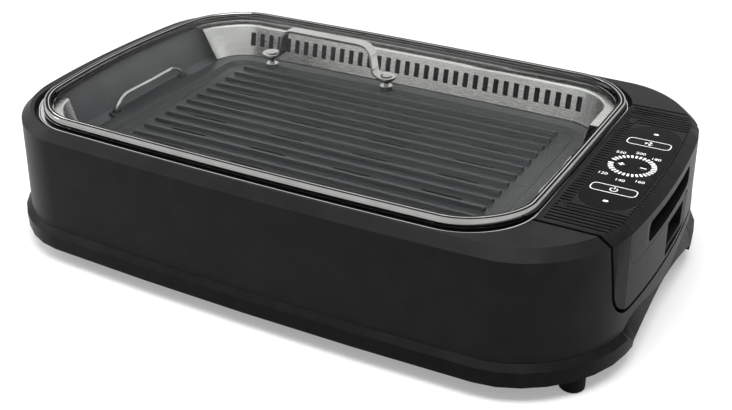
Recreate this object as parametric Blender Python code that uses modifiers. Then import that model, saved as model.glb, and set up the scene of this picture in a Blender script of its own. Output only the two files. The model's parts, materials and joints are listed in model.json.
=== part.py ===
"""A smokeless indoor grill, piece by piece, in metres, with +Z up.

The feet stand on z = 0, the control end points along +X and the front is -Y.
Every shell follows one of two outlines, the body's and the trim ring's, so a
change of either outline carries every piece that seats on it.
"""
import math

import bmesh
import bpy
from mathutils import Matrix, Vector

# Fits
clearance = 0.0003
overrun = 0.02
weld = 0.000001

# Round shapes' steps
small_steps = 12
medium_steps = 16
large_steps = 32
nut_sides = 6

# Body outline
end_border = 0.030
side_border = 0.0136
control_length = 0.068
body_corner_length = 0.069
body_corner_depth = 0.078
body_end_bow = 0.0173
body_side_bow = 0.0078
wall = 0.0025

# Heights, from the floor up
foot_height = 0.014
skirt_height = 0.0173
skirt_band = 0.0045
wall_height = 0.0786
chamfer_height = 0.0073
chamfer_width = 0.008

# Base
skirt_reach = 0.0071
skirt_foot_reach = 0.0067
wall_foot_reach = 0.0019
hand_half_width = 0.078
hand_height = 0.0154
hand_drop = 0.0103
hand_depth = 0.055
hand_roof = 0.0016
hand_stop_shares = (0.3, 0.55, 0.75, 0.9, 1.0, 1.08)
arch_power = 2.2
flare_power = 1.5
flare_rise = 0.007
hump_start_share = 0.2
hump_full_share = 0.9
hump_end_share = 1.08
hump_fall_share = 0.18
vent_width = 0.004
vent_length = 0.070
vent_pitch = 0.010
vent_count = 7
vent_inset = 0.0586
seat_width = 0.012
seat_length = 0.028
seat_offset = 0.056
boss_radius = 0.0055
boss_height = 0.009

# Feet
foot_radius = 0.0095
foot_inset_x = 0.025
foot_inset_y = 0.0446
foot_edge = 0.0012
screw_radius = 0.0018
screw_head_radius = 0.0038
screw_head_height = 0.0022
foot_recess = 0.005

# Trim ring outline
ring_length = 0.442
ring_depth = 0.314
ring_corner = 0.056
ring_end_bow = 0.001
ring_side_bow = 0.0047
ring_width = 0.0095
ring_sheet = 0.0009
ring_drop = 0.0026
recess_border = 0.003
ledge_reach = 0.0022
ledge_width = 0.005
deck_corner_share = 0.8

# Tub
tub_sheet = 0.0012
flange_reach = -0.0002
tub_inset = 0.0082
shoulder_drop = 0.0312
shoulder_inset = 0.037
tub_depth = 0.0645
tub_floor_inset = 0.0402
wall_draft = 0.0016

# Steel surround
steel_sheet = 0.0006
lip_reach = 0.004
lip_inset = 0.020
lip_roll = 0.0012
surround_foot_inset = 0.0262
surround_drop = 0.0282
slot_width = 0.005
slot_height = 0.013
slot_pitch = 0.010
slot_margin = 0.044
slot_rise = 0.0092
handle_gap_half = 0.058
surround_back_share = 0.97
surround_front_share = 0.87

# Grill plate
plate_gap = 0.0012
plate_slope = 0.003
plate_rim = 0.0025
plate_rim_width = 0.010
plate_drop = 0.004
plate_floor = 0.003
tab_length = 0.0105
tab_half_width = 0.054
tab_side = 0.004
ridge_pitch = 0.0155
ridge_margin = 0.045
ridge_width = 0.006
ridge_height = 0.0034
ridge_top_share = 0.5
drain_width = 0.004
drain_length = 0.034
drain_columns = 4
sunk_share = 0.25
wire_radius = 0.0015
wire_height = 0.0125
wire_foot_half = 0.048
wire_top_half = 0.038
wire_from_edge = 0.005
lug_radius = 0.004
lug_height = 0.003
hole_floor_share = 0.25

# Water tray
tray_inset = 0.0435
tray_rim = 0.005
tray_slope = 0.006
tray_sheet = 0.0012
tray_depth = 0.013
tray_foot_height = 0.005
tray_foot_radius = 0.006
tray_foot_inset = 0.030

# Heating element
rod_radius = 0.0035
rod_bend = 0.018
element_side = 0.057
element_end = 0.045
element_turn = 0.089
element_leg_inset = 0.058
leg_half = 0.014
leg_depth = 0.020
tie_width = 0.008
tie_height = 0.0024
tie_inset_left = 0.091
tie_inset_right = 0.171
probe_radius = 0.0025
probe_length = 0.065
neck_half_width = 0.040
neck_height = 0.013
window_side = 0.057
window_drop = 0.050
cutoff_radius = 0.006
cutoff_height = 0.009
cutoff_offset = 0.060
cutoff_step_share = 0.7
cutoff_flange_share = 0.33

# Fan
fan_radius = 0.056
fan_eye = 0.030
blade_count = 18
blade_sheet = 0.0013
blade_sweep = 0.45
hub_radius = 0.0220
hub_sheet = 0.0015
motor_radius = 0.0195
motor_height = 0.0105
bracket_sheet = 0.0012
bracket_height = 0.0040
bracket_length = 0.078
bracket_width = 0.030
bracket_foot = 0.012
shaft_radius = 0.002
nut_radius = 0.004
nut_height = 0.0026
hub_boss_height = 0.0016
hub_boss_radius = 0.005
motor_floor_share = 0.25
shroud_gap = 0.004
shroud_sheet = 0.0015
inlet_radius = 0.044
guard_radius = 0.050
guard_height = 0.0015
guard_opening_shares = ((0.16, 0.30), (0.38, 0.54), (0.62, 0.82))
spoke_width = 0.0036
outlet_half_width = 0.030
lead_radius = 0.0013
lead_bend = 0.0052

# Control unit
module_side = 0.0455
module_taper = 0.006
module_corner = 0.025
module_height = 0.0684
groove_width = 0.0027
cover_offset = 0.0095
cover_side = 0.026
cover_drop = 0.0347
cover_corner = 0.010
cover_plan_corner = 0.010
cover_sheet = 0.0025
cover_ledge = 0.0045
deck_fold_share = 0.25
rib_offset = 0.005
rib_pitch = 0.0045
rib_gap = 0.0020
rib_depth = 0.0010
panel_offset = 0.0145
panel_border = 0.0025
panel_side = 0.0095
panel_corner = 0.018
panel_sheet = 0.0012
dial_shift = 0.001
dial_inner = 0.0142
dial_outer = 0.0182
dial_depth = 0.0005
key_margin = 0.004
key_width = 0.0125
key_corner = 0.0045
key_shoulder = 0.0015
key_travel = 0.0008
stem_radius = 0.0016
fan_key_gap = 0.0198
power_key_gap = 0.0186
round_key_radius = 0.0050
round_key_spacing = 0.0168
light_inset = 0.013
light_length = 0.0040
light_width = 0.0026
light_corner = 0.0011
board_drop = 0.010
board_sheet = 0.0016
board_side = 0.010
board_margin_left = 0.001
board_margin_right = 0.0055
post_radius = 0.003
scoop_side = 0.0315
scoop_low = 0.0140
scoop_high = 0.0310
scoop_depth = 0.009
scoop_corner = 0.006
inlet_place = 0.024
inlet_width = 0.060
inlet_height = 0.0285
inlet_depth = 0.022
inlet_rise = 0.0030
socket_place = 0.021
socket_width = 0.042
socket_height = 0.021
socket_depth = 0.016
pin_radius = 0.0022
pin_spacing = 0.027
pin_length = 0.011
coupler_length = 0.020
coupler_width = 0.030
coupler_wall = 0.003
coupler_stub = 0.008

# Lid
lid_inset = 0.0044
rim_slope = 0.0027
rim_width = 0.0085
rim_height = 0.0054
rim_sheet = 0.0008
gasket_height = 0.0018
gasket_inset = 0.0006
gasket_width = 0.0074
glass_sheet = 0.0032
glass_rise = 0.0245
glass_power = 2.2
dome_shares = (0.2, 0.5, 0.75, 1.0)
handle_reach_left = 0.062
handle_reach_right = 0.048
handle_rise = 0.0265
handle_leg = 0.010
handle_bend = 0.010
handle_width = 0.010
handle_sheet = 0.002
eye_radius = 0.008
washer_radius = 0.0056
washer_height = 0.0015
lid_screw_head = 0.0048
lid_screw_dome = 0.002
lid_screw_radius = 0.002
dome_radius_shares = (0.0, 0.6, 1.0, 1.0)
dome_height_shares = (1.0, 0.8, 0.3, 0.0)
lid_nut_height = 0.004

# Sizes that the ones above give, along and across
body_length = ring_length + end_border + control_length
body_depth = ring_depth + 2 * side_border
body_half = body_length / 2
ring_centre = (end_border - control_length) / 2
ring_right = ring_centre + ring_length / 2
slot_count = int((ring_length - 2 * slot_margin) / slot_pitch)
ridge_count = 2 * int((ring_depth / 2 - ridge_margin) / ridge_pitch)
window_half_width = ring_depth / 2 - window_side
element_half_depth = ring_depth / 2 - element_side
module_start = ring_right + clearance
module_half_top = ring_depth / 2 - module_side
module_half_low = module_half_top - module_taper
rib_start = ring_right + rib_offset
rib_count = int(2 * module_half_top / rib_pitch) - 1
cover_start = ring_right + cover_offset
cover_half = module_half_top - cover_side
scoop_half = cover_half - scoop_side
panel_start = ring_right + panel_offset
panel_end = body_half - chamfer_width - panel_border
panel_half = cover_half - panel_side
dial_place = (panel_start + panel_end) / 2 - dial_shift
key_length = panel_end - panel_start - 2 * key_margin
light_place = panel_half - light_inset
fan_key_place = light_place - fan_key_gap
power_key_place = power_key_gap - light_place
board_half = panel_half - board_side
board_start = panel_start + board_margin_left
board_end = panel_end - board_margin_right
handle_left = ring_centre - handle_reach_left
handle_right = ring_centre + handle_reach_right

# Levels that the sizes above give, from the floor up
base_bottom = foot_height
base_floor = base_bottom + wall
seam_level = base_bottom + skirt_height
chamfer_level = seam_level + wall_height
deck_level = chamfer_level + chamfer_height
ring_top = deck_level - ring_drop
ring_bottom = ring_top - 2 * ring_sheet
flange_top = ring_bottom - clearance
flange_bottom = flange_top - tub_sheet
ledge_top = flange_bottom - clearance
lip_bottom = flange_top + clearance
shoulder_level = flange_top - shoulder_drop
tub_floor = flange_top - tub_depth
tub_underside = tub_floor - tub_sheet
plate_level = shoulder_level + clearance
plate_top = plate_level + plate_rim
tray_bottom = tub_floor + clearance + tray_foot_height
tray_top = tray_bottom + tray_depth
tie_level = tray_top + clearance
rod_level = tie_level + tie_height + clearance + rod_radius
module_bottom = deck_level - module_height
lid_level = ring_top + clearance


# Collections, materials and objects
def clear_scene():
    for old in list(bpy.data.objects):
        bpy.data.objects.remove(old)


clear_scene()
parts = bpy.data.collections.new("smokeless_grill")
tools = bpy.data.collections.new("cutters")
bpy.context.scene.collection.children.link(parts)
bpy.context.scene.collection.children.link(tools)


def finish(name, colour, roughness, metallic=0.0):
    """A Principled material of its own for one piece."""
    made = bpy.data.materials.new(name)
    made.use_nodes = True
    shader = made.node_tree.nodes["Principled BSDF"]
    shader.inputs["Base Color"].default_value = (*colour, 1.0)
    shader.inputs["Roughness"].default_value = roughness
    shader.inputs["Metallic"].default_value = metallic
    return made


finishes = {
    "black plastic": ((0.012, 0.012, 0.013), 0.42, 0.0),
    "base plastic": ((0.010, 0.010, 0.011), 0.38, 0.0),
    "panel": ((0.004, 0.004, 0.005), 0.12, 0.0),
    "key": ((0.006, 0.006, 0.007), 0.20, 0.0),
    "white light": ((0.85, 0.85, 0.85), 0.30, 0.0),
    "steel": ((0.56, 0.56, 0.56), 0.25, 1.0),
    "dark steel": ((0.20, 0.20, 0.21), 0.35, 1.0),
    "coated": ((0.055, 0.058, 0.062), 0.50, 0.2),
    "aluminium": ((0.60, 0.60, 0.61), 0.40, 1.0),
    "glass": ((0.80, 0.84, 0.84), 0.05, 0.0),
    "rubber": ((0.010, 0.010, 0.010), 0.80, 0.0),
    "ceramic": ((0.75, 0.72, 0.66), 0.50, 0.0),
    "board": ((0.020, 0.110, 0.040), 0.45, 0.0),
    "brass": ((0.60, 0.45, 0.20), 0.30, 1.0),
}


def keep(item, look):
    """Files an object as a piece with a finish, or as a hidden cutter where look is None."""
    if look is None:
        tools.objects.link(item)
        item.hide_render = True
        item.display_type = "WIRE"
    else:
        parts.objects.link(item)
        item.data.materials.clear()
        item.data.materials.append(finish(item.name, *finishes[look]))
    return item


def outward(bm):
    """Turns every face out; only for a mesh that is one closed skin."""
    bmesh.ops.recalc_face_normals(bm, faces=bm.faces)
    if bm.calc_volume(signed=True) < 0:
        bmesh.ops.reverse_faces(bm, faces=bm.faces)
    return bm


def solid(name, bm, look, smooth_degrees=40):
    """Turns a finished bmesh into an object."""
    mesh = bpy.data.meshes.new(name)
    bm.to_mesh(mesh)
    bm.free()
    mesh.shade_smooth()
    mesh.set_sharp_from_angle(angle=math.radians(smooth_degrees))
    return keep(bpy.data.objects.new(name, mesh), look)


def boolean(target, other, operation):
    step = target.modifiers.new(other.name, "BOOLEAN")
    step.operation = operation
    step.solver = "EXACT"
    step.object = other
    return target


def cut(target, *cutters):
    for cutter in cutters:
        boolean(target, cutter, "DIFFERENCE")
    return target


def join(target, *others):
    for other in others:
        boolean(target, other, "UNION")
    return target


def common(target, *others):
    for other in others:
        boolean(target, other, "INTERSECT")
    return target


# Outlines and sweeps
def around(quarter):
    """Mirrors a quarter, from the +X end round to the +Y side, into a whole loop."""
    half = quarter + [(-x, y) for x, y in reversed(quarter)][1:]
    return half + [(-x, -y) for x, y in half][1:-1]


def outline(length, depth, corner_x, corner_y, end_bow, side_bow, end_stops, corner_steps, side_steps,
            centre=0.0):
    """A rounded rectangle with bowed ends and sides: its points, some at end_stops, with their normals."""
    half_x, half_y = length / 2, depth / 2
    straight_x, straight_y = half_x - corner_x, half_y - corner_y
    side_share, end_share = side_bow / half_y, end_bow / half_x
    stops = [y / (1 - side_share) for y in end_stops]
    quarter = [(half_x, 0.0)] + [(half_x, y) for y in stops if y < straight_y - corner_y / corner_steps / 2]
    for step in range(corner_steps + 1):
        turn = math.pi / 2 * step / corner_steps
        quarter.append((straight_x + corner_x * math.cos(turn), straight_y + corner_y * math.sin(turn)))
    quarter += [(straight_x * (1 - step / side_steps), half_y) for step in range(1, side_steps + 1)]
    bowed = []
    for x, y in around(quarter):
        bent_x = x * (1 - end_share * (y / half_y) ** 2)
        bent_y = y * (1 - side_share * (x / half_x) ** 2)
        bowed.append(Vector((bent_x + centre, bent_y)))
    line = []
    for place, point in enumerate(bowed):
        along = (bowed[(place + 1) % len(bowed)] - bowed[place - 1]).normalized()
        line.append((point, Vector((along.y, -along.x))))
    return line


def value_at(value, point):
    return value(point) if callable(value) else value


def placed(line, index, station):
    """Where a station puts one point of the line: out along its normal and up, in or out from a centre."""
    point, normal = line[index]
    out, level, *share = station
    centre = Vector((ring_centre, 0.0))
    base = centre + (point - centre) * share[0] if share else point
    flat_place = base + normal * value_at(out, point)
    return Vector((flat_place.x, flat_place.y, value_at(level, point)))


def sweep(line, stations, ring_section=False, whole_line=True):
    """Extrudes the line's edges through the stations and closes what is left open."""
    bm = bmesh.new()
    tag = bm.verts.layers.int.new("place")
    route = stations + stations[:1] if ring_section else stations
    row = []
    for index in range(len(line)):
        vert = bm.verts.new(placed(line, index, route[0]))
        vert[tag] = index
        row.append(vert)
    pairs = list(zip(row, row[1:])) + ([(row[-1], row[0])] if whole_line else [])
    edges = [bm.edges.new(pair) for pair in pairs]
    for station in route[1:]:
        grown = bmesh.ops.extrude_edge_only(bm, edges=edges)["geom"]
        new = {item for item in grown if isinstance(item, bmesh.types.BMVert)}
        for vert in new:
            vert.co = placed(line, vert[tag], station)
        edges = [item for item in grown if isinstance(item, bmesh.types.BMEdge) and set(item.verts) <= new]
    bmesh.ops.remove_doubles(bm, verts=bm.verts, dist=weld)
    bmesh.ops.holes_fill(bm, edges=[edge for edge in bm.edges if edge.is_boundary], sides=0)
    return outward(bm)


# Simple shapes
def box(name, low, high, look=None):
    bm = bmesh.new()
    bmesh.ops.create_cube(bm, size=1.0)
    low, high = Vector(low), Vector(high)
    size, middle = high - low, (low + high) / 2
    for vert in bm.verts:
        vert.co = Vector(a * b for a, b in zip(vert.co, size)) + middle
    return solid(name, bm, look)


def boxes(name, corners, look=None):
    """Several separate boxes in one object, for a cutter."""
    bm = bmesh.new()
    for low, high in corners:
        low, high = Vector(low), Vector(high)
        size, middle = high - low, (low + high) / 2
        for vert in bmesh.ops.create_cube(bm, size=1.0)["verts"]:
            vert.co = Vector(a * b for a, b in zip(vert.co, size)) + middle
    return solid(name, bm, look)


TURNS = {"X": Matrix(((0, 0, 1), (1, 0, 0), (0, 1, 0))), "Z": Matrix.Identity(3)}


def rods(name, places, radius, start, end, axis="Z", look=None, steps=medium_steps):
    """Round rods along an axis, at places given in the plane across it."""
    bm = bmesh.new()
    for a, b in places:
        turned_place = TURNS[axis].to_4x4() @ Matrix.Translation((a, b, (start + end) / 2))
        bmesh.ops.create_cone(bm, cap_ends=True, segments=steps, radius1=radius, radius2=radius,
                              depth=end - start, matrix=turned_place)
    return solid(name, bm, look)


def as_mesh(curve_object, look):
    """Makes a curve object a mesh with its caps welded, so that it can be cut or joined."""
    bpy.context.scene.collection.objects.link(curve_object)
    bpy.context.view_layer.update()
    graph = bpy.context.evaluated_depsgraph_get()
    mesh = bpy.data.meshes.new_from_object(curve_object.evaluated_get(graph))
    name, place = curve_object.name, curve_object.matrix_world.copy()
    bpy.data.objects.remove(curve_object)
    bm = bmesh.new()
    bm.from_mesh(mesh)
    bmesh.ops.remove_doubles(bm, verts=bm.verts, dist=weld)
    bm.transform(place)
    return solid(name, bm, look)


def flat(name, loops, start, end, axis="Z", look=None):
    """Flat outlines with their holes, as thick as start to end along an axis."""
    curve = bpy.data.curves.new(name, "CURVE")
    curve.dimensions = "2D"
    curve.fill_mode = "BOTH"
    curve.extrude = abs(end - start) / 2
    for loop in loops:
        spline = curve.splines.new("POLY")
        spline.points.add(len(loop) - 1)
        for point, (a, b) in zip(spline.points, loop):
            point.co = (a, b, 0.0, 1.0)
        spline.use_cyclic_u = True
    item = bpy.data.objects.new(name, curve)
    item.matrix_world = TURNS[axis].to_4x4() @ Matrix.Translation((0.0, 0.0, (start + end) / 2))
    return as_mesh(item, look)


def wire(name, points, radius, look):
    """A round wire along points, with filled caps."""
    curve = bpy.data.curves.new(name, "CURVE")
    curve.dimensions = "3D"
    curve.bevel_depth = radius
    curve.bevel_resolution = 2
    curve.use_fill_caps = True
    spline = curve.splines.new("POLY")
    spline.points.add(len(points) - 1)
    for point, place in zip(spline.points, points):
        point.co = (*place, 1.0)
    return as_mesh(bpy.data.objects.new(name, curve), look)


def bent(corners, radius, steps=5):
    """A path whose inner corners are rounded by arcs."""
    path = [Vector(corners[0])]
    for before, corner, after in zip(corners, corners[1:], corners[2:]):
        corner = Vector(corner)
        back, ahead = (Vector(before) - corner), (Vector(after) - corner)
        reach = min(radius, back.length / 2, ahead.length / 2)
        back.normalize()
        ahead.normalize()
        for step in range(steps + 1):
            t = step / steps
            start, stop = corner + back * reach, corner + ahead * reach
            path.append((1 - t) ** 2 * start + 2 * t * (1 - t) * corner + t ** 2 * stop)
    path.append(Vector(corners[-1]))
    return path


def turned(name, profile, place, look, steps=medium_steps, axis="Z"):
    """A profile of radius and height turned about an axis through place; it runs down its outer side."""
    bm = bmesh.new()
    verts = [bm.verts.new((radius, 0.0, height)) for radius, height in profile]
    closed = profile[0][0] > 0 and profile[-1][0] > 0
    pairs = list(zip(verts, verts[1:])) + ([(verts[-1], verts[0])] if closed else [])
    for pair in pairs:
        if max(vert.co.x for vert in pair) > 0.0:
            bm.edges.new(pair)
    mesh = bpy.data.meshes.new(name)
    bm.to_mesh(mesh)
    bm.free()
    item = keep(bpy.data.objects.new(name, mesh), look)
    item.matrix_world = Matrix.Translation(place) @ TURNS[axis].to_4x4()
    screw = item.modifiers.new("Turn", "SCREW")
    screw.steps = steps
    screw.render_steps = steps
    screw.use_merge_vertices = True
    screw.merge_threshold = weld
    screw.use_smooth_shade = True
    return item


def rounded(width, height, radius, centre=(0.0, 0.0), steps=4):
    """A rounded rectangle's points."""
    points = []
    for sign_x, sign_y, start in ((1, 1, 0.0), (-1, 1, math.pi / 2), (-1, -1, math.pi),
                                  (1, -1, -math.pi / 2)):
        for step in range(steps + 1):
            turn = start + math.pi / 2 * step / steps
            points.append((centre[0] + sign_x * (width / 2 - radius) + radius * math.cos(turn),
                           centre[1] + sign_y * (height / 2 - radius) + radius * math.sin(turn)))
    return points


def circle(radius, centre=(0.0, 0.0), steps=large_steps):
    return [(centre[0] + radius * math.cos(math.tau * step / steps),
             centre[1] + radius * math.sin(math.tau * step / steps)) for step in range(steps)]


# The two outlines
hand_stops = [hand_half_width * share for share in hand_stop_shares]
body_line = outline(body_length, body_depth, body_corner_length, body_corner_depth, body_end_bow,
                    body_side_bow, hand_stops, 7, 2)
ring_line = outline(ring_length, ring_depth, ring_corner, ring_corner, ring_end_bow, ring_side_bow,
                    (tab_half_width, tab_half_width + tab_side), 6, 2, ring_centre)


# Base pan: a tray with a flared skirt, lifted over a hand hold at each end
def smooth_step(t):
    t = min(max(t, 0.0), 1.0)
    return t * t * (3 - 2 * t)


def arch_level(y):
    """The hand hold's ceiling, highest in the middle."""
    share = min(abs(y) / hand_half_width, 1.0)
    return base_bottom + hand_height - hand_drop * share ** arch_power


def band_top(point):
    """The seam between base and body, which humps over each side of a hand hold."""
    share = abs(point.y) / hand_half_width
    rising = smooth_step((share - hump_start_share) / (hump_full_share - hump_start_share))
    falling = smooth_step((hump_end_share - share) / hump_fall_share)
    return seam_level + flare_rise * rising * falling


def body_foot(point):
    return band_top(point) + clearance


def skirt_out(point):
    share = abs(point.y) / hand_half_width
    return wall_foot_reach + (skirt_reach - wall_foot_reach) * (share ** flare_power if share <= 1.0 else 1.0)


def skirt_level(point):
    if abs(point.y) <= hand_half_width + weld:
        return arch_level(point.y) + clearance
    return seam_level - skirt_band


def skirt_inside(point):
    return skirt_out(point) - wall


def skirt_middle(point):
    return skirt_out(point) - wall / 2


def arch_profile(grow, bottom):
    steps = 12
    half = hand_half_width + grow
    across = [half * (1 - 2 * step / steps) for step in range(steps + 1)]
    return [(-half, bottom), (half, bottom)] + [(y, arch_level(y) + grow) for y in across]


def both_ends(name, grow, bottom, start, end):
    """The hand hold's arch as a prism at each end, in one cutter."""
    right = flat(name, [arch_profile(grow, bottom)], start, end, "X")
    bm = bmesh.new()
    bm.from_mesh(right.data)
    copy = bmesh.ops.duplicate(bm, geom=bm.verts[:] + bm.edges[:] + bm.faces[:])["geom"]
    for item in copy:
        if isinstance(item, bmesh.types.BMVert):
            item.co.x = -item.co.x
    bmesh.ops.reverse_faces(bm, faces=[item for item in copy if isinstance(item, bmesh.types.BMFace)])
    bm.to_mesh(right.data)
    bm.free()
    return right


vent_place = body_depth / 2 - vent_inset
foot_places = [(x * (body_half - foot_inset_x), y * (body_depth / 2 - foot_inset_y))
               for x in (-1, 1) for y in (-1, 1)]
fan_place = ring_centre
hand_end = body_half - hand_depth
seat_place = body_half - (hand_depth + seat_length) / 2


def make_base_pan():
    pan = solid("base_pan", sweep(body_line, [
        (skirt_foot_reach, base_bottom), (skirt_out, skirt_level), (wall_foot_reach, band_top),
        (wall_foot_reach - wall, band_top), (skirt_inside, skirt_level),
        (skirt_foot_reach - wall, base_floor),
    ]), "base plastic")
    roof = both_ends("hand_hold_roof", hand_roof, base_bottom + wall / 2, hand_end - hand_roof,
                     body_half + overrun)
    plug = solid("hand_hold_plug", sweep(body_line, [
        (skirt_foot_reach - wall / 2, base_bottom + wall / 2), (skirt_middle, skirt_level),
        (wall_foot_reach - wall / 2, band_top)]), None)
    common(roof, plug)
    seats = boxes("control_seats", [
        ((seat_place - seat_length / 2, side * seat_offset - seat_width / 2, base_floor),
         (seat_place + seat_length / 2, side * seat_offset + seat_width / 2, module_bottom - clearance))
        for side in (-1, 1)])
    bosses = rods("screw_bosses", foot_places, boss_radius, base_bottom + wall / 2, base_floor + boss_height)
    void = both_ends("hand_hold_void", 0.0, base_bottom - overrun, hand_end, body_half + overrun)
    holes = rods("screw_holes", foot_places, screw_radius + clearance, base_bottom - overrun,
                 base_floor + boss_height - wall)
    vents = boxes("floor_vents", [
        ((fan_place + place - vent_width / 2, vent_place - vent_length / 2, base_bottom - overrun),
         (fan_place + place + vent_width / 2, vent_place + vent_length / 2, base_floor + wall))
        for place in [(count - (vent_count - 1) / 2) * vent_pitch for count in range(vent_count)]])
    return cut(join(pan, roof, seats, bosses), void, holes, vents)


make_base_pan()


# Feet and their screws
def make_feet():
    for x, y in foot_places:
        name = ("foot_rear" if y > 0 else "foot_front") + ("_right" if x > 0 else "_left")
        top = foot_height - clearance
        bore = screw_radius + clearance
        recess = screw_head_radius + clearance
        turned(name, [(bore, top), (foot_radius, top), (foot_radius, foot_edge),
                      (foot_radius - foot_edge, 0.0), (recess, 0.0), (recess, foot_recess),
                      (bore, foot_recess)], (x, y, 0.0), "rubber")
        head = foot_recess - clearance
        tip = base_floor + boss_height - wall - clearance
        turned(name.replace("foot", "screw"), [
            (0.0, tip), (screw_radius, tip), (screw_radius, head), (screw_head_radius, head),
            (screw_head_radius, head - screw_head_height), (0.0, head - screw_head_height)],
            (x, y, 0.0), "steel", small_steps)


make_feet()


# Body shell: the black housing with its chamfered deck, the ring's recess and the control unit's bay
def wall_out(level):
    """How far the drafted wall stands outside the outline at a height."""
    return wall_foot_reach * (chamfer_level - level) / (chamfer_level - seam_level)


def module_half(level):
    low = module_bottom + module_corner
    return module_half_low + (module_half_top - module_half_low) * (level - low) / (deck_level - low)


def module_profile(grow, top):
    """The control unit's outline seen from its end, grown by so much."""
    steps = 5
    corner = module_corner + grow
    side = [(module_half(min(top, deck_level)) + grow, min(top, deck_level))]
    if top > deck_level:
        side.insert(0, (module_half_top + grow, top))
    for step in range(steps + 1):
        turn = math.pi / 2 * step / steps
        side.append((module_half_low - module_corner + corner * math.cos(turn),
                     module_bottom + module_corner - corner * math.sin(turn)))
    return side + [(-y, z) for y, z in reversed(side)]


def make_body_shell():
    inner_deck = chamfer_width + wall * deck_corner_share
    shell = solid("body_shell", sweep(body_line, [
        (-inner_deck, deck_level - wall), (-wall, chamfer_level - wall / 2),
        (wall_foot_reach - wall, body_foot), (wall_foot_reach, body_foot), (0.0, chamfer_level),
        (-chamfer_width, deck_level),
    ]), "black plastic")
    ledge = solid("ring_ledge", sweep(ring_line, [
        (ledge_reach + wall, ledge_top - ledge_reach), (ledge_reach + wall, deck_level - wall / 2)]), None)
    opening = solid("ring_opening", sweep(ring_line, [
        (-ledge_width, ledge_top - overrun), (-ledge_width, ledge_top), (ledge_reach, ledge_top),
        (recess_border, deck_level), (recess_border, deck_level + overrun)]), None)
    bay = flat("control_bay", [module_profile(groove_width, deck_level + overrun)], ring_right - overrun,
               body_half + overrun, "X")
    return cut(join(shell, ledge), opening, bay)


make_body_shell()


# Tub: the metal well, with a shoulder for the plate, a fan inlet and a window for the heater
def tub_bmesh():
    outer_shoulder = -(shoulder_inset - tub_sheet)
    return sweep(ring_line, [
        (-(tub_floor_inset - tub_sheet), tub_underside), (outer_shoulder, shoulder_level - tub_sheet),
        (-(tub_inset + wall_draft - tub_sheet), shoulder_level - tub_sheet),
        (-(tub_inset - tub_sheet), flange_bottom), (flange_reach, flange_bottom), (flange_reach, flange_top),
        (-tub_inset, flange_top), (-(tub_inset + wall_draft), shoulder_level),
        (-shoulder_inset, shoulder_level), (-tub_floor_inset, tub_floor)])


window_floor = flange_top - window_drop
window_start = ring_right - tub_floor_inset - overrun


def make_tub():
    tub = solid("inner_tub", tub_bmesh(), "dark steel")
    window = box("heater_window", (window_start, -window_half_width, window_floor),
                 (ring_right + overrun, window_half_width, deck_level + overrun))
    inlet = rods("fan_inlet", [(fan_place, 0.0)], inlet_radius, tub_underside - overrun, tub_floor + overrun,
                 steps=large_steps)
    return cut(tub, window, inlet)


make_tub()


# Trim ring and steel surround
def make_trim_ring():
    return solid("trim_ring", sweep(ring_line, [
        (0.0, ring_bottom), (0.0, ring_top), (-ring_width, ring_top), (-ring_width, ring_top - ring_sheet),
        (-ring_sheet, ring_top - ring_sheet), (-ring_sheet, ring_bottom)], ring_section=True), "dark steel")


plate_inset = surround_foot_inset + steel_sheet + plate_gap
tab_end = ring_length / 2 - plate_inset + tab_length


def make_surround():
    front_limit = ring_centre - ring_length / 2 * surround_front_share
    back_limit = ring_centre - ring_length / 2 * surround_back_share
    front = [(point, normal) for point, normal in ring_line if point.y < 0 and point.x > front_limit]
    back = [(point, normal) for point, normal in ring_line if point.y >= 0 and point.x > back_limit]
    lip_top = lip_bottom + steel_sheet
    foot = flange_top - surround_drop
    surround = solid("steel_surround", sweep(front + back, [
        (-lip_reach, lip_bottom), (-lip_reach, lip_top), (-(lip_inset - lip_roll), lip_top),
        (-lip_inset - steel_sheet, lip_top - lip_roll), (-surround_foot_inset - steel_sheet, foot),
        (-surround_foot_inset, foot), (-lip_inset, lip_bottom - lip_roll),
        (-(lip_inset - lip_roll), lip_bottom)], ring_section=True, whole_line=False), "steel")
    places = [ring_centre + (count - (slot_count - 1) / 2) * slot_pitch for count in range(slot_count)]
    slots = boxes("wall_slots", [
        ((place - slot_width / 2, ring_depth / 2 - surround_foot_inset - slot_width, foot + slot_rise),
         (place + slot_width / 2, ring_depth / 2 - lip_inset + slot_width, foot + slot_rise + slot_height))
        for place in places])
    gap = box("handle_gap", (ring_right - plate_inset - overrun, -handle_gap_half, foot - overrun),
              (ring_centre + tab_end + plate_gap, handle_gap_half, lip_top + overrun))
    return cut(surround, slots, gap)


make_trim_ring()
make_surround()


# Grill plate with its ridges, drain slots and wire handles
floor_inset = plate_inset + plate_rim_width + plate_slope
plate_floor_top = plate_top - plate_drop
plate_underside = plate_floor_top - plate_floor
wire_place = tab_end - wire_from_edge
wire_feet = [(ring_centre + end * wire_place, side * wire_foot_half) for end in (-1, 1) for side in (-1, 1)]
hole_floor = plate_level + plate_rim * hole_floor_share


def plate_edge(point):
    return -plate_inset + (tab_length if abs(point.y) < tab_half_width + tab_side / 2 else 0.0)


def ridge_profile():
    """A comb: a strip sunk in the plate's floor with the ridges standing on it."""
    sunk = plate_floor_top - plate_floor * sunk_share
    low = plate_floor_top - plate_floor / 2
    half = ridge_count * ridge_pitch / 2
    comb = [(-half, low), (half, low), (half, sunk)]
    for count in reversed(range(ridge_count)):
        middle = (count - (ridge_count - 1) / 2) * ridge_pitch
        top = plate_floor_top + ridge_height
        comb += [(middle + ridge_width / 2, sunk), (middle + ridge_width / 2 * ridge_top_share, top),
                 (middle - ridge_width / 2 * ridge_top_share, top), (middle - ridge_width / 2, sunk)]
    return comb + [(-half, sunk)]


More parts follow.
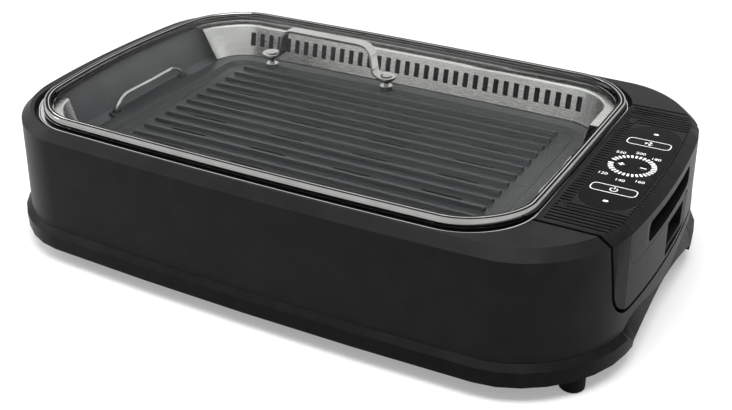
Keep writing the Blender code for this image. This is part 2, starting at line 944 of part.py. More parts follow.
def make_plate():
    plate = solid("grill_plate", sweep(ring_line, [
        (-floor_inset, plate_underside), (-plate_inset - plate_rim_width, plate_level),
        (plate_edge, plate_level), (plate_edge, plate_top),
        (-plate_inset - plate_rim_width - plate_rim, plate_top),
        (-floor_inset - plate_rim, plate_floor_top)]), "coated")
    ridge_half = ring_length / 2 - floor_inset - plate_rim - ridge_pitch
    ridges = flat("plate_ridges", [ridge_profile()], ring_centre - ridge_half, ring_centre + ridge_half, "X")
    lugs = rods("handle_lugs", wire_feet, lug_radius, plate_top - plate_rim / 2, plate_top + lug_height)
    holes = rods("handle_holes", wire_feet, wire_radius + clearance, hole_floor, plate_top + overrun,
                 steps=small_steps)
    drains = boxes("drain_slots", [
        ((ring_centre + (column - (drain_columns - 1) / 2) * ridge_half / 2 - drain_length / 2,
          row * ridge_pitch - drain_width / 2, plate_underside - overrun),
         (ring_centre + (column - (drain_columns - 1) / 2) * ridge_half / 2 + drain_length / 2,
          row * ridge_pitch + drain_width / 2, plate_top + overrun))
        for row in range(2 - ridge_count // 2, ridge_count // 2 - 1, 2) for column in range(drain_columns)])
    return cut(join(plate, ridges, lugs), holes, drains)


def make_wire_handle(name, end):
    x = ring_centre + end * wire_place
    foot = hole_floor + clearance
    top = plate_top + wire_height
    knee = plate_top + lug_height + wire_radius
    corners = [(x, -wire_foot_half, foot), (x, -wire_foot_half, knee), (x, -wire_top_half, top),
               (x, wire_top_half, top), (x, wire_foot_half, knee), (x, wire_foot_half, foot)]
    return wire(name, bent(corners, wire_height / 2, 4), wire_radius, "steel")


make_plate()
make_wire_handle("plate_handle_left", -1)
make_wire_handle("plate_handle_right", 1)


# Water tray on four short feet
def make_tray():
    outer = tray_inset + tray_rim
    tray = solid("water_tray", sweep(ring_line, [
        (-(outer + tray_slope), tray_bottom), (-outer, tray_top - tray_sheet),
        (-tray_inset, tray_top - tray_sheet), (-tray_inset, tray_top), (-(outer + tray_sheet), tray_top),
        (-(outer + tray_slope + tray_sheet), tray_bottom + tray_sheet)]), "dark steel")
    inset = outer + tray_slope + tray_foot_inset
    feet = rods("tray_feet", [(ring_centre + end * (ring_length / 2 - inset), side * (ring_depth / 2 - inset))
                              for end in (-1, 1) for side in (-1, 1)],
                tray_foot_radius, tub_floor + clearance, tray_bottom + tray_sheet / 2)
    return join(tray, feet)


make_tray()


# Heating element, its flange, ties, probe and terminals
wall_face = ring_right - (shoulder_inset - tub_sheet) + clearance
leg_places = [(-leg_half, rod_level), (leg_half, rod_level)]


def make_element():
    """One tube in six passes, folded at both ends, with both legs at the control end."""
    passes = 6
    pitch = 2 * element_half_depth / (passes - 1)
    rows = [element_half_depth - count * pitch for count in range(passes)]
    left, right = ring_centre - ring_length / 2 + element_end, ring_right - element_turn
    near = ring_right - element_leg_inset
    leg_end = wall_face + leg_depth
    corners = [(leg_end, leg_half), (near, leg_half), (near, rows[0])]
    for count in range(0, passes, 2):
        corners += [(left, rows[count]), (left, rows[count + 1])]
        if count + 2 < passes:
            corners += [(right, rows[count + 1]), (right, rows[count + 2])]
    corners += [(near, rows[-1]), (near, -leg_half), (leg_end, -leg_half)]
    path = bent([(x, y, rod_level) for x, y in corners], rod_bend, 5)
    return wire("heating_element", path, rod_radius, "dark steel")


def make_heater_flange():
    """The piece of the tub's wall that comes out with the heater."""
    flange = solid("heater_flange", tub_bmesh(), "dark steel")
    window = box("heater_window_fit",
                 (window_start, -window_half_width + clearance, window_floor + clearance),
                 (ring_right + overrun, window_half_width - clearance, deck_level + overrun))
    back = wall_face + clearance
    holes = rods("leg_holes", leg_places, rod_radius + clearance, window_start, back, "X")
    probe = rods("probe_hole", [(0.0, rod_level)], probe_radius + clearance, window_start, back, "X")
    return cut(common(flange, window), holes, probe)


def make_terminal_block():
    block = box("terminal_block", (wall_face, -neck_half_width, rod_level - neck_height / 2),
                (module_start - clearance, neck_half_width, rod_level + neck_height / 2), "ceramic")
    bores = rods("leg_bores", leg_places, rod_radius + clearance, wall_face - overrun,
                 wall_face + leg_depth + clearance, "X")
    probe = rods("probe_bore", [(0.0, rod_level)], probe_radius + clearance, wall_face - overrun,
                 wall_face + leg_depth + clearance, "X")
    return cut(block, bores, probe)


def make_ties():
    half = ring_depth / 2 - tray_inset - ring_side_bow
    for name, place in (("element_tie_left", ring_centre - ring_length / 2 + tie_inset_left),
                        ("element_tie_right", ring_right - tie_inset_right)):
        box(name, (place - tie_width / 2, -half, tie_level),
            (place + tie_width / 2, half, tie_level + tie_height), "dark steel")


def make_probe():
    turned("temperature_probe", [
        (0.0, leg_depth), (probe_radius, leg_depth), (probe_radius, -probe_length), (0.0, -probe_length)],
        (wall_face, 0.0, rod_level), "steel", small_steps, "X")


def make_cutoff():
    cap, flange = cutoff_radius * cutoff_step_share, cutoff_height * cutoff_flange_share
    turned("thermal_cutoff", [(0.0, cutoff_height), (cap, cutoff_height), (cap, flange),
                              (cutoff_radius, flange), (cutoff_radius, 0.0), (0.0, 0.0)],
           (wall_face, -cutoff_offset, rod_level), "aluminium", axis="X")


make_element()
make_heater_flange()
make_terminal_block()
make_ties()
make_probe()
make_cutoff()


# Fan: motor on its bracket, impeller on its shaft, shroud, guard and lead
bracket_top = base_floor + clearance + bracket_height + bracket_sheet
motor_bottom = bracket_top + clearance
motor_top = motor_bottom + motor_height
hub_bottom = motor_top + 2 * clearance
hub_top = hub_bottom + hub_sheet
shroud_top = tub_underside - clearance
vane_bottom = bracket_top + hub_sheet
blade_top = shroud_top - 2 * shroud_sheet
fan_middle = (fan_place, 0.0, 0.0)
bore_radius = shaft_radius + clearance
shaft_top = hub_top + hub_boss_height + nut_height + 2 * clearance + shaft_radius


def make_motor():
    low = base_floor + clearance
    deck = low + bracket_height
    half, foot = bracket_length / 2, bracket_foot
    hat = [(-half, low), (-half + foot, low), (-half + foot, deck), (half - foot, deck), (half - foot, low),
           (half, low)]
    lid = [(half, low + bracket_sheet), (half - foot + bracket_sheet, low + bracket_sheet),
           (half - foot + bracket_sheet, bracket_top), (-half + foot - bracket_sheet, bracket_top),
           (-half + foot - bracket_sheet, low + bracket_sheet), (-half, low + bracket_sheet)]
    flat("motor_bracket", [hat + lid], fan_place - bracket_width / 2, fan_place + bracket_width / 2, "X",
         "steel")
    seat = motor_bottom + motor_height * motor_floor_share
    turned("fan_motor", [(bore_radius, motor_top), (motor_radius, motor_top), (motor_radius, motor_bottom),
                         (0.0, motor_bottom), (0.0, seat), (bore_radius, seat)], fan_middle, "dark steel")
    turned("fan_shaft", [(0.0, shaft_top), (shaft_radius, shaft_top), (shaft_radius, seat + clearance),
                         (0.0, seat + clearance)], fan_middle, "steel", small_steps)


def make_impeller():
    cup = hub_radius + hub_sheet
    impeller = turned("fan_impeller", [
        (bore_radius, hub_top + hub_boss_height), (hub_boss_radius, hub_top + hub_boss_height),
        (hub_boss_radius, hub_top), (cup, hub_top), (cup, vane_bottom + hub_sheet),
        (fan_radius, vane_bottom + hub_sheet), (fan_radius, vane_bottom), (hub_radius, vane_bottom),
        (hub_radius, hub_bottom), (bore_radius, hub_bottom)], fan_middle, "aluminium", large_steps)
    bm = bmesh.new()
    steps = 2
    for count in range(blade_count):
        turn = math.tau * count / blade_count
        rim = []
        for step in range(steps + 1):
            share = step / steps
            radius = fan_eye + (fan_radius - hub_sheet - fan_eye) * share
            rim.append((radius, turn + blade_sweep * share * share))
        loop = rim + [(radius, angle + blade_sheet / radius) for radius, angle in reversed(rim)]
        verts = [bm.verts.new((fan_place + radius * math.cos(angle), radius * math.sin(angle),
                               vane_bottom + hub_sheet / 2)) for radius, angle in loop]
        face = bm.faces.new(verts)
        for item in bmesh.ops.extrude_face_region(bm, geom=[face])["geom"]:
            if isinstance(item, bmesh.types.BMVert):
                item.co.z = blade_top
    return join(impeller, solid("fan_blades", outward(bm), None))


def make_shroud():
    inner = fan_radius + shroud_gap
    outer, low = inner + shroud_sheet, base_floor + clearance
    shroud = turned("fan_housing", [
        (inlet_radius, shroud_top), (outer, shroud_top), (outer, low), (inner, low),
        (inner, shroud_top - shroud_sheet), (inlet_radius, shroud_top - shroud_sheet)],
        fan_middle, "black plastic", large_steps)
    outlet = box("fan_outlet", (fan_place - outlet_half_width, fan_radius / 2, base_floor + wall),
                 (fan_place + outlet_half_width, fan_radius * 2, shroud_top - 2 * shroud_sheet))
    exit_hole = box("lead_hole", (fan_place + fan_radius / 2, -lead_bend / 2, base_floor - wall),
                    (fan_place + fan_radius * 2, lead_bend / 2, base_floor + lead_bend))
    return cut(shroud, outlet, exit_hole)


def make_guard():
    """A flat grille of arched openings over the fan's inlet."""
    sectors, steps = 4, 3
    loops = [circle(guard_radius, (fan_place, 0.0))]
    for low_share, high_share in guard_opening_shares:
        low, high = guard_radius * low_share, guard_radius * high_share
        for sector in range(sectors):
            start = math.tau * sector / sectors + spoke_width / 2 / low
            stop = math.tau * (sector + 1) / sectors - spoke_width / 2 / low
            angles = [start + (stop - start) * step / steps for step in range(steps + 1)]
            rim = [(high, angle) for angle in angles] + [(low, angle) for angle in reversed(angles)]
            loops.append([(fan_place + radius * math.cos(angle), radius * math.sin(angle))
                          for radius, angle in rim])
    return flat("fan_guard", loops, tub_floor + clearance, tub_floor + clearance + guard_height, "Z", "steel")


make_motor()
make_impeller()
make_shroud()
make_guard()
nut_bottom = hub_top + hub_boss_height + clearance
nut_loops = [circle(nut_radius, (fan_place, 0.0), nut_sides),
             circle(bore_radius, (fan_place, 0.0), small_steps)]
flat("fan_nut", nut_loops, nut_bottom, nut_bottom + nut_height, "Z", "brass")


# Coupler between the base and the control unit, and the fan's lead
coupler_place = seat_place
coupler_low = base_bottom + hand_height + hand_roof + clearance
coupler_high = module_bottom - coupler_wall - clearance
coupler_half_x, coupler_half_y = coupler_length / 2, coupler_width / 2
lead_level = base_floor + clearance + lead_radius
lead_high = (coupler_low + coupler_high) / 2


def coupler_box(name, inset, low, high, look=None):
    """An upright block on the coupler's centre, smaller all round by the inset."""
    half_x, half_y = coupler_half_x - inset, coupler_half_y - inset
    return box(name, (coupler_place - half_x, -half_y, low), (coupler_place + half_x, half_y, high), look)


def make_coupler():
    socket = coupler_box("coupler_socket", 0.0, coupler_low, coupler_high, "base plastic")
    cut(socket, coupler_box("coupler_well", coupler_wall, coupler_low + coupler_wall, coupler_high + overrun))
    coupler_box("coupler_plug", coupler_wall + clearance, coupler_high - coupler_stub,
                module_bottom - clearance, "black plastic")


def make_lead():
    turn_place = hand_end - hand_roof - lead_bend
    corners = [(fan_place + bracket_foot, 0.0, lead_level), (turn_place, 0.0, lead_level),
               (turn_place, 0.0, lead_high), (coupler_place - coupler_half_x - clearance, 0.0, lead_high)]
    return wire("fan_lead", bent(corners, lead_bend, 4), lead_radius, "rubber")


make_coupler()
make_lead()


# Control unit: a hollow housing in the bay, with a cover over its top and upper end
def form(name, inset):
    """The body's outer form as a solid, moved in by so much, to trim the control unit flush."""
    low = module_bottom - overrun
    return solid(name, sweep(body_line, [
        (wall_out(low) - inset, low), (-inset, chamfer_level - inset / 2),
        (-chamfer_width - inset * deck_fold_share, deck_level - inset)]), None)


def cover_profile(grow):
    """The cover's outline seen from its end: straight sides and rounded lower corners."""
    half, bottom, corner = cover_half + grow, deck_level - cover_drop - grow, cover_corner + grow
    steps = 4
    side = [(half, deck_level + overrun)]
    for step in range(steps + 1):
        turn = math.pi / 2 * step / steps
        side.append((half - corner + corner * math.cos(turn), bottom + corner - corner * math.sin(turn)))
    return side + [(-y, z) for y, z in reversed(side)]


def cover_plan(name, grow):
    """The cover seen from above, with rounded inner corners, as a tall block that passes its outer end."""
    start, end = cover_start - grow, end_reach + cover_plan_corner
    loop = rounded(end - start, 2 * (cover_half + grow), cover_plan_corner + grow, ((start + end) / 2, 0.0))
    return flat(name, [loop], deck_level - 2 * cover_drop, deck_level + 2 * overrun)


outer_form = form("outer_form", 0.0)
end_reach = body_half + wall_foot_reach + overrun
cover_under = deck_level - cover_sheet
board_top = deck_level - board_drop
inlet_low = module_bottom + inlet_rise
inlet_front = body_half - 2 * clearance
inlet_back = inlet_front - inlet_depth
inlet_level = inlet_low + inlet_height / 2


def drawn_back(y):
    """How far the body's end has drawn back at a place across it."""
    return body_end_bow * (y / (body_depth / 2)) ** 2


def panel_loop(grow):
    """The panel's outline, whose outer edge bows with the body's end."""
    steps = 6
    middle, straight = (panel_start + panel_end) / 2, panel_half - panel_corner
    loop = rounded(panel_end - panel_start + 2 * grow, 2 * (panel_half + grow), panel_corner + grow,
                   (middle, 0.0))
    loop += [(panel_end + grow, straight * (2 * step / steps - 1)) for step in range(1, steps)]
    return [(x - drawn_back(y) if x > middle else x, y) for x, y in loop]


def key_loops(grow):
    """The openings for both long keys, both round keys and both lights."""
    loops = [rounded(key_length + 2 * grow, key_width + 2 * grow, key_corner + grow, (dial_place, place))
             for place in (fan_key_place, power_key_place)]
    loops += [circle(round_key_radius + grow, (dial_place + side * round_key_spacing / 2, 0.0), medium_steps)
              for side in (-1, 1)]
    return loops + [rounded(light_length + 2 * grow, light_width + 2 * grow, light_corner + grow,
                            (dial_place, side * light_place), 2) for side in (-1, 1)]


def make_housing():
    housing = flat("control_housing", [module_profile(0.0, deck_level + overrun)], module_start, end_reach,
                   "X", "black plastic")
    common(housing, outer_form)
    recess = flat("cover_recess", [cover_profile(clearance)], cover_start - clearance, end_reach, "X")
    common(recess, cover_plan("recess_plan", clearance))
    cut(recess, form("cover_recess_floor", cover_sheet + clearance))
    strip = 2 * wall + clearance
    hollow = flat("housing_hollow", [module_profile(-wall, deck_level - strip)], module_start + wall,
                  end_reach, "X")
    common(hollow, form("housing_inner_form", wall))
    well = box("housing_well", (cover_start + cover_ledge, -cover_half + cover_ledge, deck_level - 2 * strip),
               (end_reach, cover_half - cover_ledge, deck_level + overrun))
    half = inlet_width / 2 + clearance
    socket = box("inlet_window", (inlet_back - overrun, inlet_place - half, inlet_low - clearance),
                 (end_reach, inlet_place + half, inlet_low + inlet_height + clearance))
    grooves = []
    for count in range(rib_count):
        y = (count - (rib_count - 1) / 2) * rib_pitch
        beside = abs(y) > cover_half + rib_gap
        if beside or abs(y) < cover_half - rib_gap:
            stop = body_half - drawn_back(y) - chamfer_width - rib_gap if beside else cover_start - rib_gap
            grooves.append(((rib_start, y - rib_gap / 2, deck_level - rib_depth),
                            (stop, y + rib_gap / 2, deck_level + overrun)))
    return cut(housing, recess, hollow, well, socket, boxes("deck_grooves", grooves))


def scoop_box(name, grow):
    """The finger scoop in the cover's end, grown by so much on every side but its open one."""
    back, half = body_half - scoop_depth - grow, scoop_half + grow
    low, high = deck_level - scoop_high - grow, deck_level - scoop_low + grow
    return flat(name, [rounded(2 * half, high - low, scoop_corner + grow, (0.0, (low + high) / 2))], back,
                end_reach, "X")


def make_cover():
    cover = flat("control_cover", [cover_profile(0.0)], cover_start, end_reach, "X", "black plastic")
    common(cover, outer_form, cover_plan("cover_corners", 0.0))
    cut(cover, form("cover_inner_form", cover_sheet))
    block = scoop_box("scoop_block", cover_sheet)
    common(block, form("scoop_form", cover_sheet / 2))
    scoop = scoop_box("finger_scoop", 0.0)
    post_places = [(x, side * (board_half - 2 * post_radius))
                   for x in (board_start + post_radius, board_end - post_radius) for side in (-1, 1)]
    posts = rods("board_posts", post_places, post_radius, board_top + clearance, cover_under + clearance,
                 steps=small_steps)
    above = deck_level + overrun
    panel_seat = flat("panel_seat", [panel_loop(clearance)], deck_level - panel_sheet - clearance, above)
    openings = flat("cover_openings", key_loops(clearance), cover_under - clearance, above)
    return cut(join(cover, block, posts), scoop, panel_seat, openings)


def make_panel():
    loops = [panel_loop(0.0)] + key_loops(clearance)
    panel = flat("control_panel", loops, deck_level - panel_sheet, deck_level, "Z", "panel")
    seat = flat("dial_seat", [circle(dial_outer + clearance, (dial_place, 0.0)),
                              circle(dial_inner - clearance, (dial_place, 0.0))],
                deck_level - dial_depth - clearance, deck_level + overrun)
    flat("tick_light_ring", [circle(dial_outer, (dial_place, 0.0)), circle(dial_inner, (dial_place, 0.0))],
         deck_level - dial_depth, deck_level, "Z", "white light")
    return cut(panel, seat)


def make_keys():
    shoulder_top = cover_under - clearance
    shoulder_low = shoulder_top - panel_sheet
    stem_low = board_top + key_travel + clearance
    top = deck_level + clearance
    for name, place in (("fan_button", fan_key_place), ("power_button", power_key_place)):
        face = rounded(key_length, key_width, key_corner, (dial_place, place))
        skirt = rounded(key_length + 2 * key_shoulder, key_width + 2 * key_shoulder,
                        key_corner + key_shoulder, (dial_place, place))
        key = flat(name, [face], shoulder_top - panel_sheet / 2, top, "Z", "key")
        shoulder = flat(name + "_shoulder", [skirt], shoulder_low, shoulder_top)
        stem = rods(name + "_stem", [(dial_place, place)], stem_radius, stem_low,
                    shoulder_low + panel_sheet / 2, steps=small_steps)
        join(key, shoulder, stem)
    for name, side in (("plus_button", -1), ("minus_button", 1)):
        x = dial_place + side * round_key_spacing / 2
        shoulder = round_key_radius + key_shoulder
        turned(name, [(0.0, top), (round_key_radius, top), (round_key_radius, shoulder_top),
                      (shoulder, shoulder_top), (shoulder, shoulder_low), (stem_radius, shoulder_low),
                      (stem_radius, stem_low), (0.0, stem_low)], (x, 0.0, 0.0), "key")
    for name, side in (("fan_light", 1), ("power_light", -1)):
        flat(name, [rounded(light_length, light_width, light_corner, (dial_place, side * light_place), 2)],
             board_top + clearance, deck_level, "Z", "white light")
    box("control_board", (board_start, -board_half, board_top - board_sheet),
        (board_end, board_half, board_top), "board")


def make_inlet():
    block = box("power_inlet", (inlet_back, inlet_place - inlet_width / 2, inlet_low),
                (inlet_front, inlet_place + inlet_width / 2, inlet_low + inlet_height), "base plastic")
    mouth = box("inlet_mouth",
                (inlet_front - socket_depth, socket_place - socket_width / 2,
                 inlet_level - socket_height / 2),
                (inlet_front + overrun, socket_place + socket_width / 2, inlet_level + socket_height / 2))
    pin_places = [(socket_place + side * pin_spacing / 2, inlet_level) for side in (-1, 1)]
    holes = rods("pin_holes", pin_places, pin_radius + clearance, inlet_back - overrun, inlet_front, "X",
                 steps=small_steps)
    cut(block, mouth, holes)
    for name, (y, z) in zip(("inlet_pin_front", "inlet_pin_rear"), pin_places):
        rods(name, [(y, z)], pin_radius, inlet_back, inlet_front - socket_depth + pin_length, "X", "brass",
             small_steps)


make_housing()
make_cover()
make_panel()
make_keys()
make_inlet()


# Lid: domed glass in a steel rim, with a gasket and a strap handle
rim_low = lid_level + gasket_height + clearance
rim_top = rim_low + rim_height
rim_inner = lid_inset + rim_width
glass_inset = lid_inset + rim_slope + rim_sheet + 2 * clearance
glass_low = rim_low + rim_sheet + clearance
glass_seat = glass_low + glass_sheet
dome_inset = rim_inner + rim_sheet
handle_ends = [(handle_left, 0.0), (handle_right, 0.0)]


def dome_top(share):
    return glass_seat + glass_rise * (1 - share ** glass_power)


def glass_height(x):
    """The dome's facets' height on the lid's long axis."""
    share = abs(x - ring_centre) / (ring_length / 2 - dome_inset)
    for low, high in zip(dome_shares, dome_shares[1:]):
        if low <= share <= high:
            part = (share - low) / (high - low)
            return dome_top(low) * (1 - part) + dome_top(high) * part
    return dome_top(dome_shares[0])


def make_lid():
    seal_out = -(lid_inset + gasket_inset)
    seal_in = seal_out - gasket_width
    solid("lid_gasket", sweep(ring_line, [
        (seal_out, lid_level), (seal_out, lid_level + gasket_height), (seal_in, lid_level + gasket_height),
        (seal_in, lid_level)], ring_section=True), "rubber")
    slope = lid_inset + rim_slope
    solid("lid_rim", sweep(ring_line, [
        (-lid_inset, rim_low), (-slope, rim_top), (-rim_inner, rim_top), (-rim_inner, rim_top - rim_sheet),
        (-slope - rim_sheet, rim_top - rim_sheet), (-lid_inset - rim_sheet, rim_low + rim_sheet),
        (-rim_inner, rim_low + rim_sheet), (-rim_inner, rim_low)], ring_section=True), "steel")
    under = [(-dome_inset * share, dome_top(share) - glass_sheet, share) for share in dome_shares]
    edge = [(-glass_inset, glass_low), (-glass_inset, glass_seat)]
    over = [(-dome_inset * share, dome_top(share), share) for share in reversed(dome_shares)]
    glass = solid("lid_glass", sweep(ring_line, under + edge + over), "glass")
    return cut(glass, rods("glass_holes", handle_ends, lid_screw_radius + clearance, glass_low,
                           glass_seat + glass_rise + overrun))


def make_lid_handle():
    seats = {x: max(glass_height(x - washer_radius), glass_height(x + washer_radius)) + clearance
             for x in (handle_left, handle_right)}
    level = max(seats.values()) + washer_height + clearance + handle_sheet / 2
    top = level + handle_rise - handle_sheet
    left, right = handle_left + handle_leg, handle_right - handle_leg
    corners = [(handle_left, 0.0, level), (left, 0.0, level), (left + handle_sheet * 2, 0.0, top),
               (right - handle_sheet * 2, 0.0, top), (right, 0.0, level), (handle_right, 0.0, level)]
    bm = bmesh.new()
    verts = [bm.verts.new((point.x, -handle_width / 2, point.z)) for point in bent(corners, handle_bend, 5)]
    edges = [bm.edges.new(pair) for pair in zip(verts, verts[1:])]
    for item in bmesh.ops.extrude_edge_only(bm, edges=edges)["geom"]:
        if isinstance(item, bmesh.types.BMVert):
            item.co.y = handle_width / 2
    mesh = bpy.data.meshes.new("lid_handle")
    bmesh.ops.recalc_face_normals(bm, faces=bm.faces)
    bm.to_mesh(mesh)
    bm.free()
    handle = keep(bpy.data.objects.new("lid_handle", mesh), "steel")
    sheet = handle.modifiers.new("Sheet", "SOLIDIFY")
    sheet.thickness = handle_sheet
    sheet.offset = 0.0
    eyes = rods("handle_eyes", handle_ends, eye_radius, level - handle_sheet / 2, level + handle_sheet / 2,
                steps=large_steps)
    bore = lid_screw_radius + clearance
    cut(join(handle, eyes), rods("eye_holes", handle_ends, bore, level - overrun, level + overrun))
    for side, x in (("left", handle_left), ("right", handle_right)):
        washer_low = level - handle_sheet / 2 - clearance - washer_height
        lowest = min(glass_height(x - washer_radius), glass_height(x + washer_radius))
        turned("handle_washer_" + side, [(bore, washer_height), (washer_radius, washer_height),
                                         (washer_radius, 0.0), (bore, 0.0)], (x, 0.0, washer_low), "rubber")
        nut_top = lowest - glass_sheet - clearance
        tip = nut_top - lid_nut_height
        loops = [circle(washer_radius, (x, 0.0), nut_sides), circle(bore, (x, 0.0), small_steps)]
        flat("handle_nut_" + side, loops, tip, nut_top, "Z", "steel")
        head = level + handle_sheet / 2 + clearance
        dome = [(lid_screw_head * wide, head + lid_screw_dome * high)
                for wide, high in zip(dome_radius_shares, dome_height_shares)]
        turned("handle_screw_" + side, dome + [(lid_screw_radius, head), (lid_screw_radius, tip), (0.0, tip)],
               (x, 0.0, 0.0), "steel")


make_lid()
make_lid_handle()
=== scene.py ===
# %% [markdown]
# # A smokeless indoor grill, dressed for a studio picture
# The solids come packed from the CAD build, in metres. This lesson gives each one the surface that
# the real piece has, and rebuilds the pieces whose curves are seen from close by.

import json
import math

import bmesh
import bpy
from mathutils import Matrix, Vector


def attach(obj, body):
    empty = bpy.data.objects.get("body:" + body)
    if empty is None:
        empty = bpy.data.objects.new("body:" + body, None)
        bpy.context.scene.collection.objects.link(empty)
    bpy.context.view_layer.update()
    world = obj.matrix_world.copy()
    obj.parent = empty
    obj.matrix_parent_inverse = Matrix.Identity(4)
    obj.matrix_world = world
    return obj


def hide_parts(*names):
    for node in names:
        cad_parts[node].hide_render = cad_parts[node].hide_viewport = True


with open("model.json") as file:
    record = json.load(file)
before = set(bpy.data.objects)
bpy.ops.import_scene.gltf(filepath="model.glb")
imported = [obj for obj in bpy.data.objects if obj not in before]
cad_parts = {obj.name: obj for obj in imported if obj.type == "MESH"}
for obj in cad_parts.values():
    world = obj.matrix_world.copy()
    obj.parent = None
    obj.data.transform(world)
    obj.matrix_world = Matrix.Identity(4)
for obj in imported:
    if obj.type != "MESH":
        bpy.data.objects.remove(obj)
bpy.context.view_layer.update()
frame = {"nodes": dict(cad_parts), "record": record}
nodes = frame["nodes"]
mm = 0.001
print("solids", len(nodes))

# %% [markdown]
# ## Helpers for finishes
# A finish is a Principled shader with a few nodes that vary it. Colours are written as sRGB hex,
# as a paint chart gives them, and one function turns them to the linear values that Blender mixes.


# %% Colour and nodes
def linear(hex_value, alpha=1.0):
    """An sRGB hex value as a linear colour."""
    out = []
    for place in (1, 3, 5):
        share = int(hex_value[place:place + 2], 16) / 255
        out.append(share / 12.92 if share <= 0.04045 else ((share + 0.055) / 1.055) ** 2.4)
    return (*out, alpha)


def add(tree, kind, links=(), **settings):
    """Adds a node with its settings; links pair an input's name or place with a socket or a number."""
    made = tree.nodes.new(kind)
    for name, value in settings.items():
        if name in made.inputs:
            made.inputs[name].default_value = value
        elif hasattr(made, name):
            setattr(made, name, value)
        else:
            made.inputs[name.replace("_", " ")].default_value = value
    for name, source in links:
        if isinstance(source, bpy.types.NodeSocket):
            tree.links.new(source, made.inputs[name])
        else:
            made.inputs[name].default_value = source
    return made


def finish(name, **sockets):
    """A new Principled material; sockets are the shader's own values."""
    made = bpy.data.materials.new(name)
    made.use_nodes = True
    shader = made.node_tree.nodes["Principled BSDF"]
    for socket, value in sockets.items():
        shader.inputs[socket.replace("_", " ")].default_value = value
    return made, made.node_tree, shader


def grain(tree, shader, size, height, stretch=(1, 1, 1)):
    """A bump of one grain size in metres, stretched along an axis where the surface was brushed."""
    where = add(tree, "ShaderNodeTexCoord")
    scaled = add(tree, "ShaderNodeMapping", [("Vector", where.outputs["Object"])], Scale=stretch)
    noise = add(tree, "ShaderNodeTexNoise", [("Vector", scaled.outputs["Vector"])],
                Scale=1 / size, Detail=3.0, Roughness=0.55)
    bump = add(tree, "ShaderNodeBump", [("Height", noise.outputs["Fac"])], Distance=height, Strength=1.0)
    tree.links.new(bump.outputs["Normal"], shader.inputs["Normal"])
    return noise


def vary(tree, shader, socket, source, low, high, size=None):
    """Lets a noise move one of the shader's values between two limits."""
    if size is not None:
        where = add(tree, "ShaderNodeTexCoord")
        source = add(tree, "ShaderNodeTexNoise", [("Vector", where.outputs["Object"])],
                     Scale=1 / size, Detail=4.0)
    ranged = add(tree, "ShaderNodeMapRange", [("Value", source.outputs["Fac"])],
                 From_Min=0.3, From_Max=0.7, To_Min=low, To_Max=high)
    tree.links.new(ranged.outputs["Result"], shader.inputs[socket])


def tint(tree, shader, dark, light, size):
    """Lets a noise of one patch size move the colour between two near shades."""
    where = add(tree, "ShaderNodeTexCoord")
    noise = add(tree, "ShaderNodeTexNoise", [("Vector", where.outputs["Object"])], Scale=1 / size, Detail=5.0)
    ramp = add(tree, "ShaderNodeValToRGB", [("Fac", noise.outputs["Fac"])])
    low, high = ramp.color_ramp.elements
    low.position, high.position = 0.35, 0.65
    low.color, high.color = linear(dark), linear(light)
    tree.links.new(ramp.outputs["Color"], shader.inputs["Base Color"])


print("black", linear("#19191a"))

# %% [markdown]
# ## Moulded plastics
# The body is ABS moulded against a spark-eroded tool: near black, with a soft sheen that lifts on
# edges turned to the light. The real grain is about a tenth of a millimetre. That is too fine to
# show from here, so it is drawn three times as coarse, and still only breaks up the highlight.

# %% Body plastics
grained_abs, tree, shader = finish("abs_fine_grain", Roughness=0.42, IOR=1.46, Specular_IOR_Level=0.08)
tint(tree, shader, "#19191a", "#1e1e1f", 18 * mm)
grain(tree, shader, 0.35 * mm, 0.012 * mm)

# The base and the control unit came from a smoother tool, so their highlights are tighter.
smooth_abs, tree, shader = finish("abs_half_gloss", Roughness=0.36, IOR=1.46, Specular_IOR_Level=0.04)
tint(tree, shader, "#171718", "#1c1c1d", 12 * mm)
grain(tree, shader, 0.5 * mm, 0.008 * mm)

# Glass-filled nylon stands the heat round the inlet and the fan; its fibres leave it dull.
nylon, tree, shader = finish("glass_filled_nylon", Roughness=0.5, IOR=1.5, Specular_IOR_Level=0.10)
tint(tree, shader, "#121213", "#19191a", 5 * mm)
grain(tree, shader, 0.4 * mm, 0.015 * mm)

# Silicone rubber is matt: it takes almost no highlight, so it reads as a black line.
silicone, tree, shader = finish("black_silicone", Roughness=0.62, IOR=1.41, Specular_IOR_Level=0.08)
tint(tree, shader, "#0d0d0d", "#141414", 6 * mm)
grain(tree, shader, 0.6 * mm, 0.02 * mm)
print("body plastics made")

# %% [markdown]
# ## Panel, keys and ink
# The panel is clear acrylic with black printed behind it, polished like a phone's face: it is
# blacker than the plastic round it, with a sharp reflection. The keys are the same, a little worn
# by fingers. The ink is white, and it is given a small painted glow so that it reads in shade.

# %% Panel
panel_acrylic, tree, shader = finish("acrylic_panel", Roughness=0.10, IOR=1.49, Specular_IOR_Level=0.03)
tint(tree, shader, "#080809", "#0b0b0c", 9 * mm)
vary(tree, shader, "Roughness", None, 0.07, 0.14, 14 * mm)

key_acrylic, tree, shader = finish("acrylic_key", Roughness=0.16, IOR=1.49, Specular_IOR_Level=0.04)
tint(tree, shader, "#0a0a0b", "#0e0e0f", 6 * mm)
vary(tree, shader, "Roughness", None, 0.12, 0.20, 8 * mm)

# Painted glow: the ink is no lamp, but it glows a little; the indicator lights and the lit ticks share this
# glow.
ink_glow = 0.25
print_white, tree, shader = finish("white_ink", Roughness=0.5, Emission_Color=linear("#f4f4f2"),
                                   Emission_Strength=ink_glow)
tint(tree, shader, "#dededc", "#f2f2f0", 3 * mm)
print("panel finishes made")
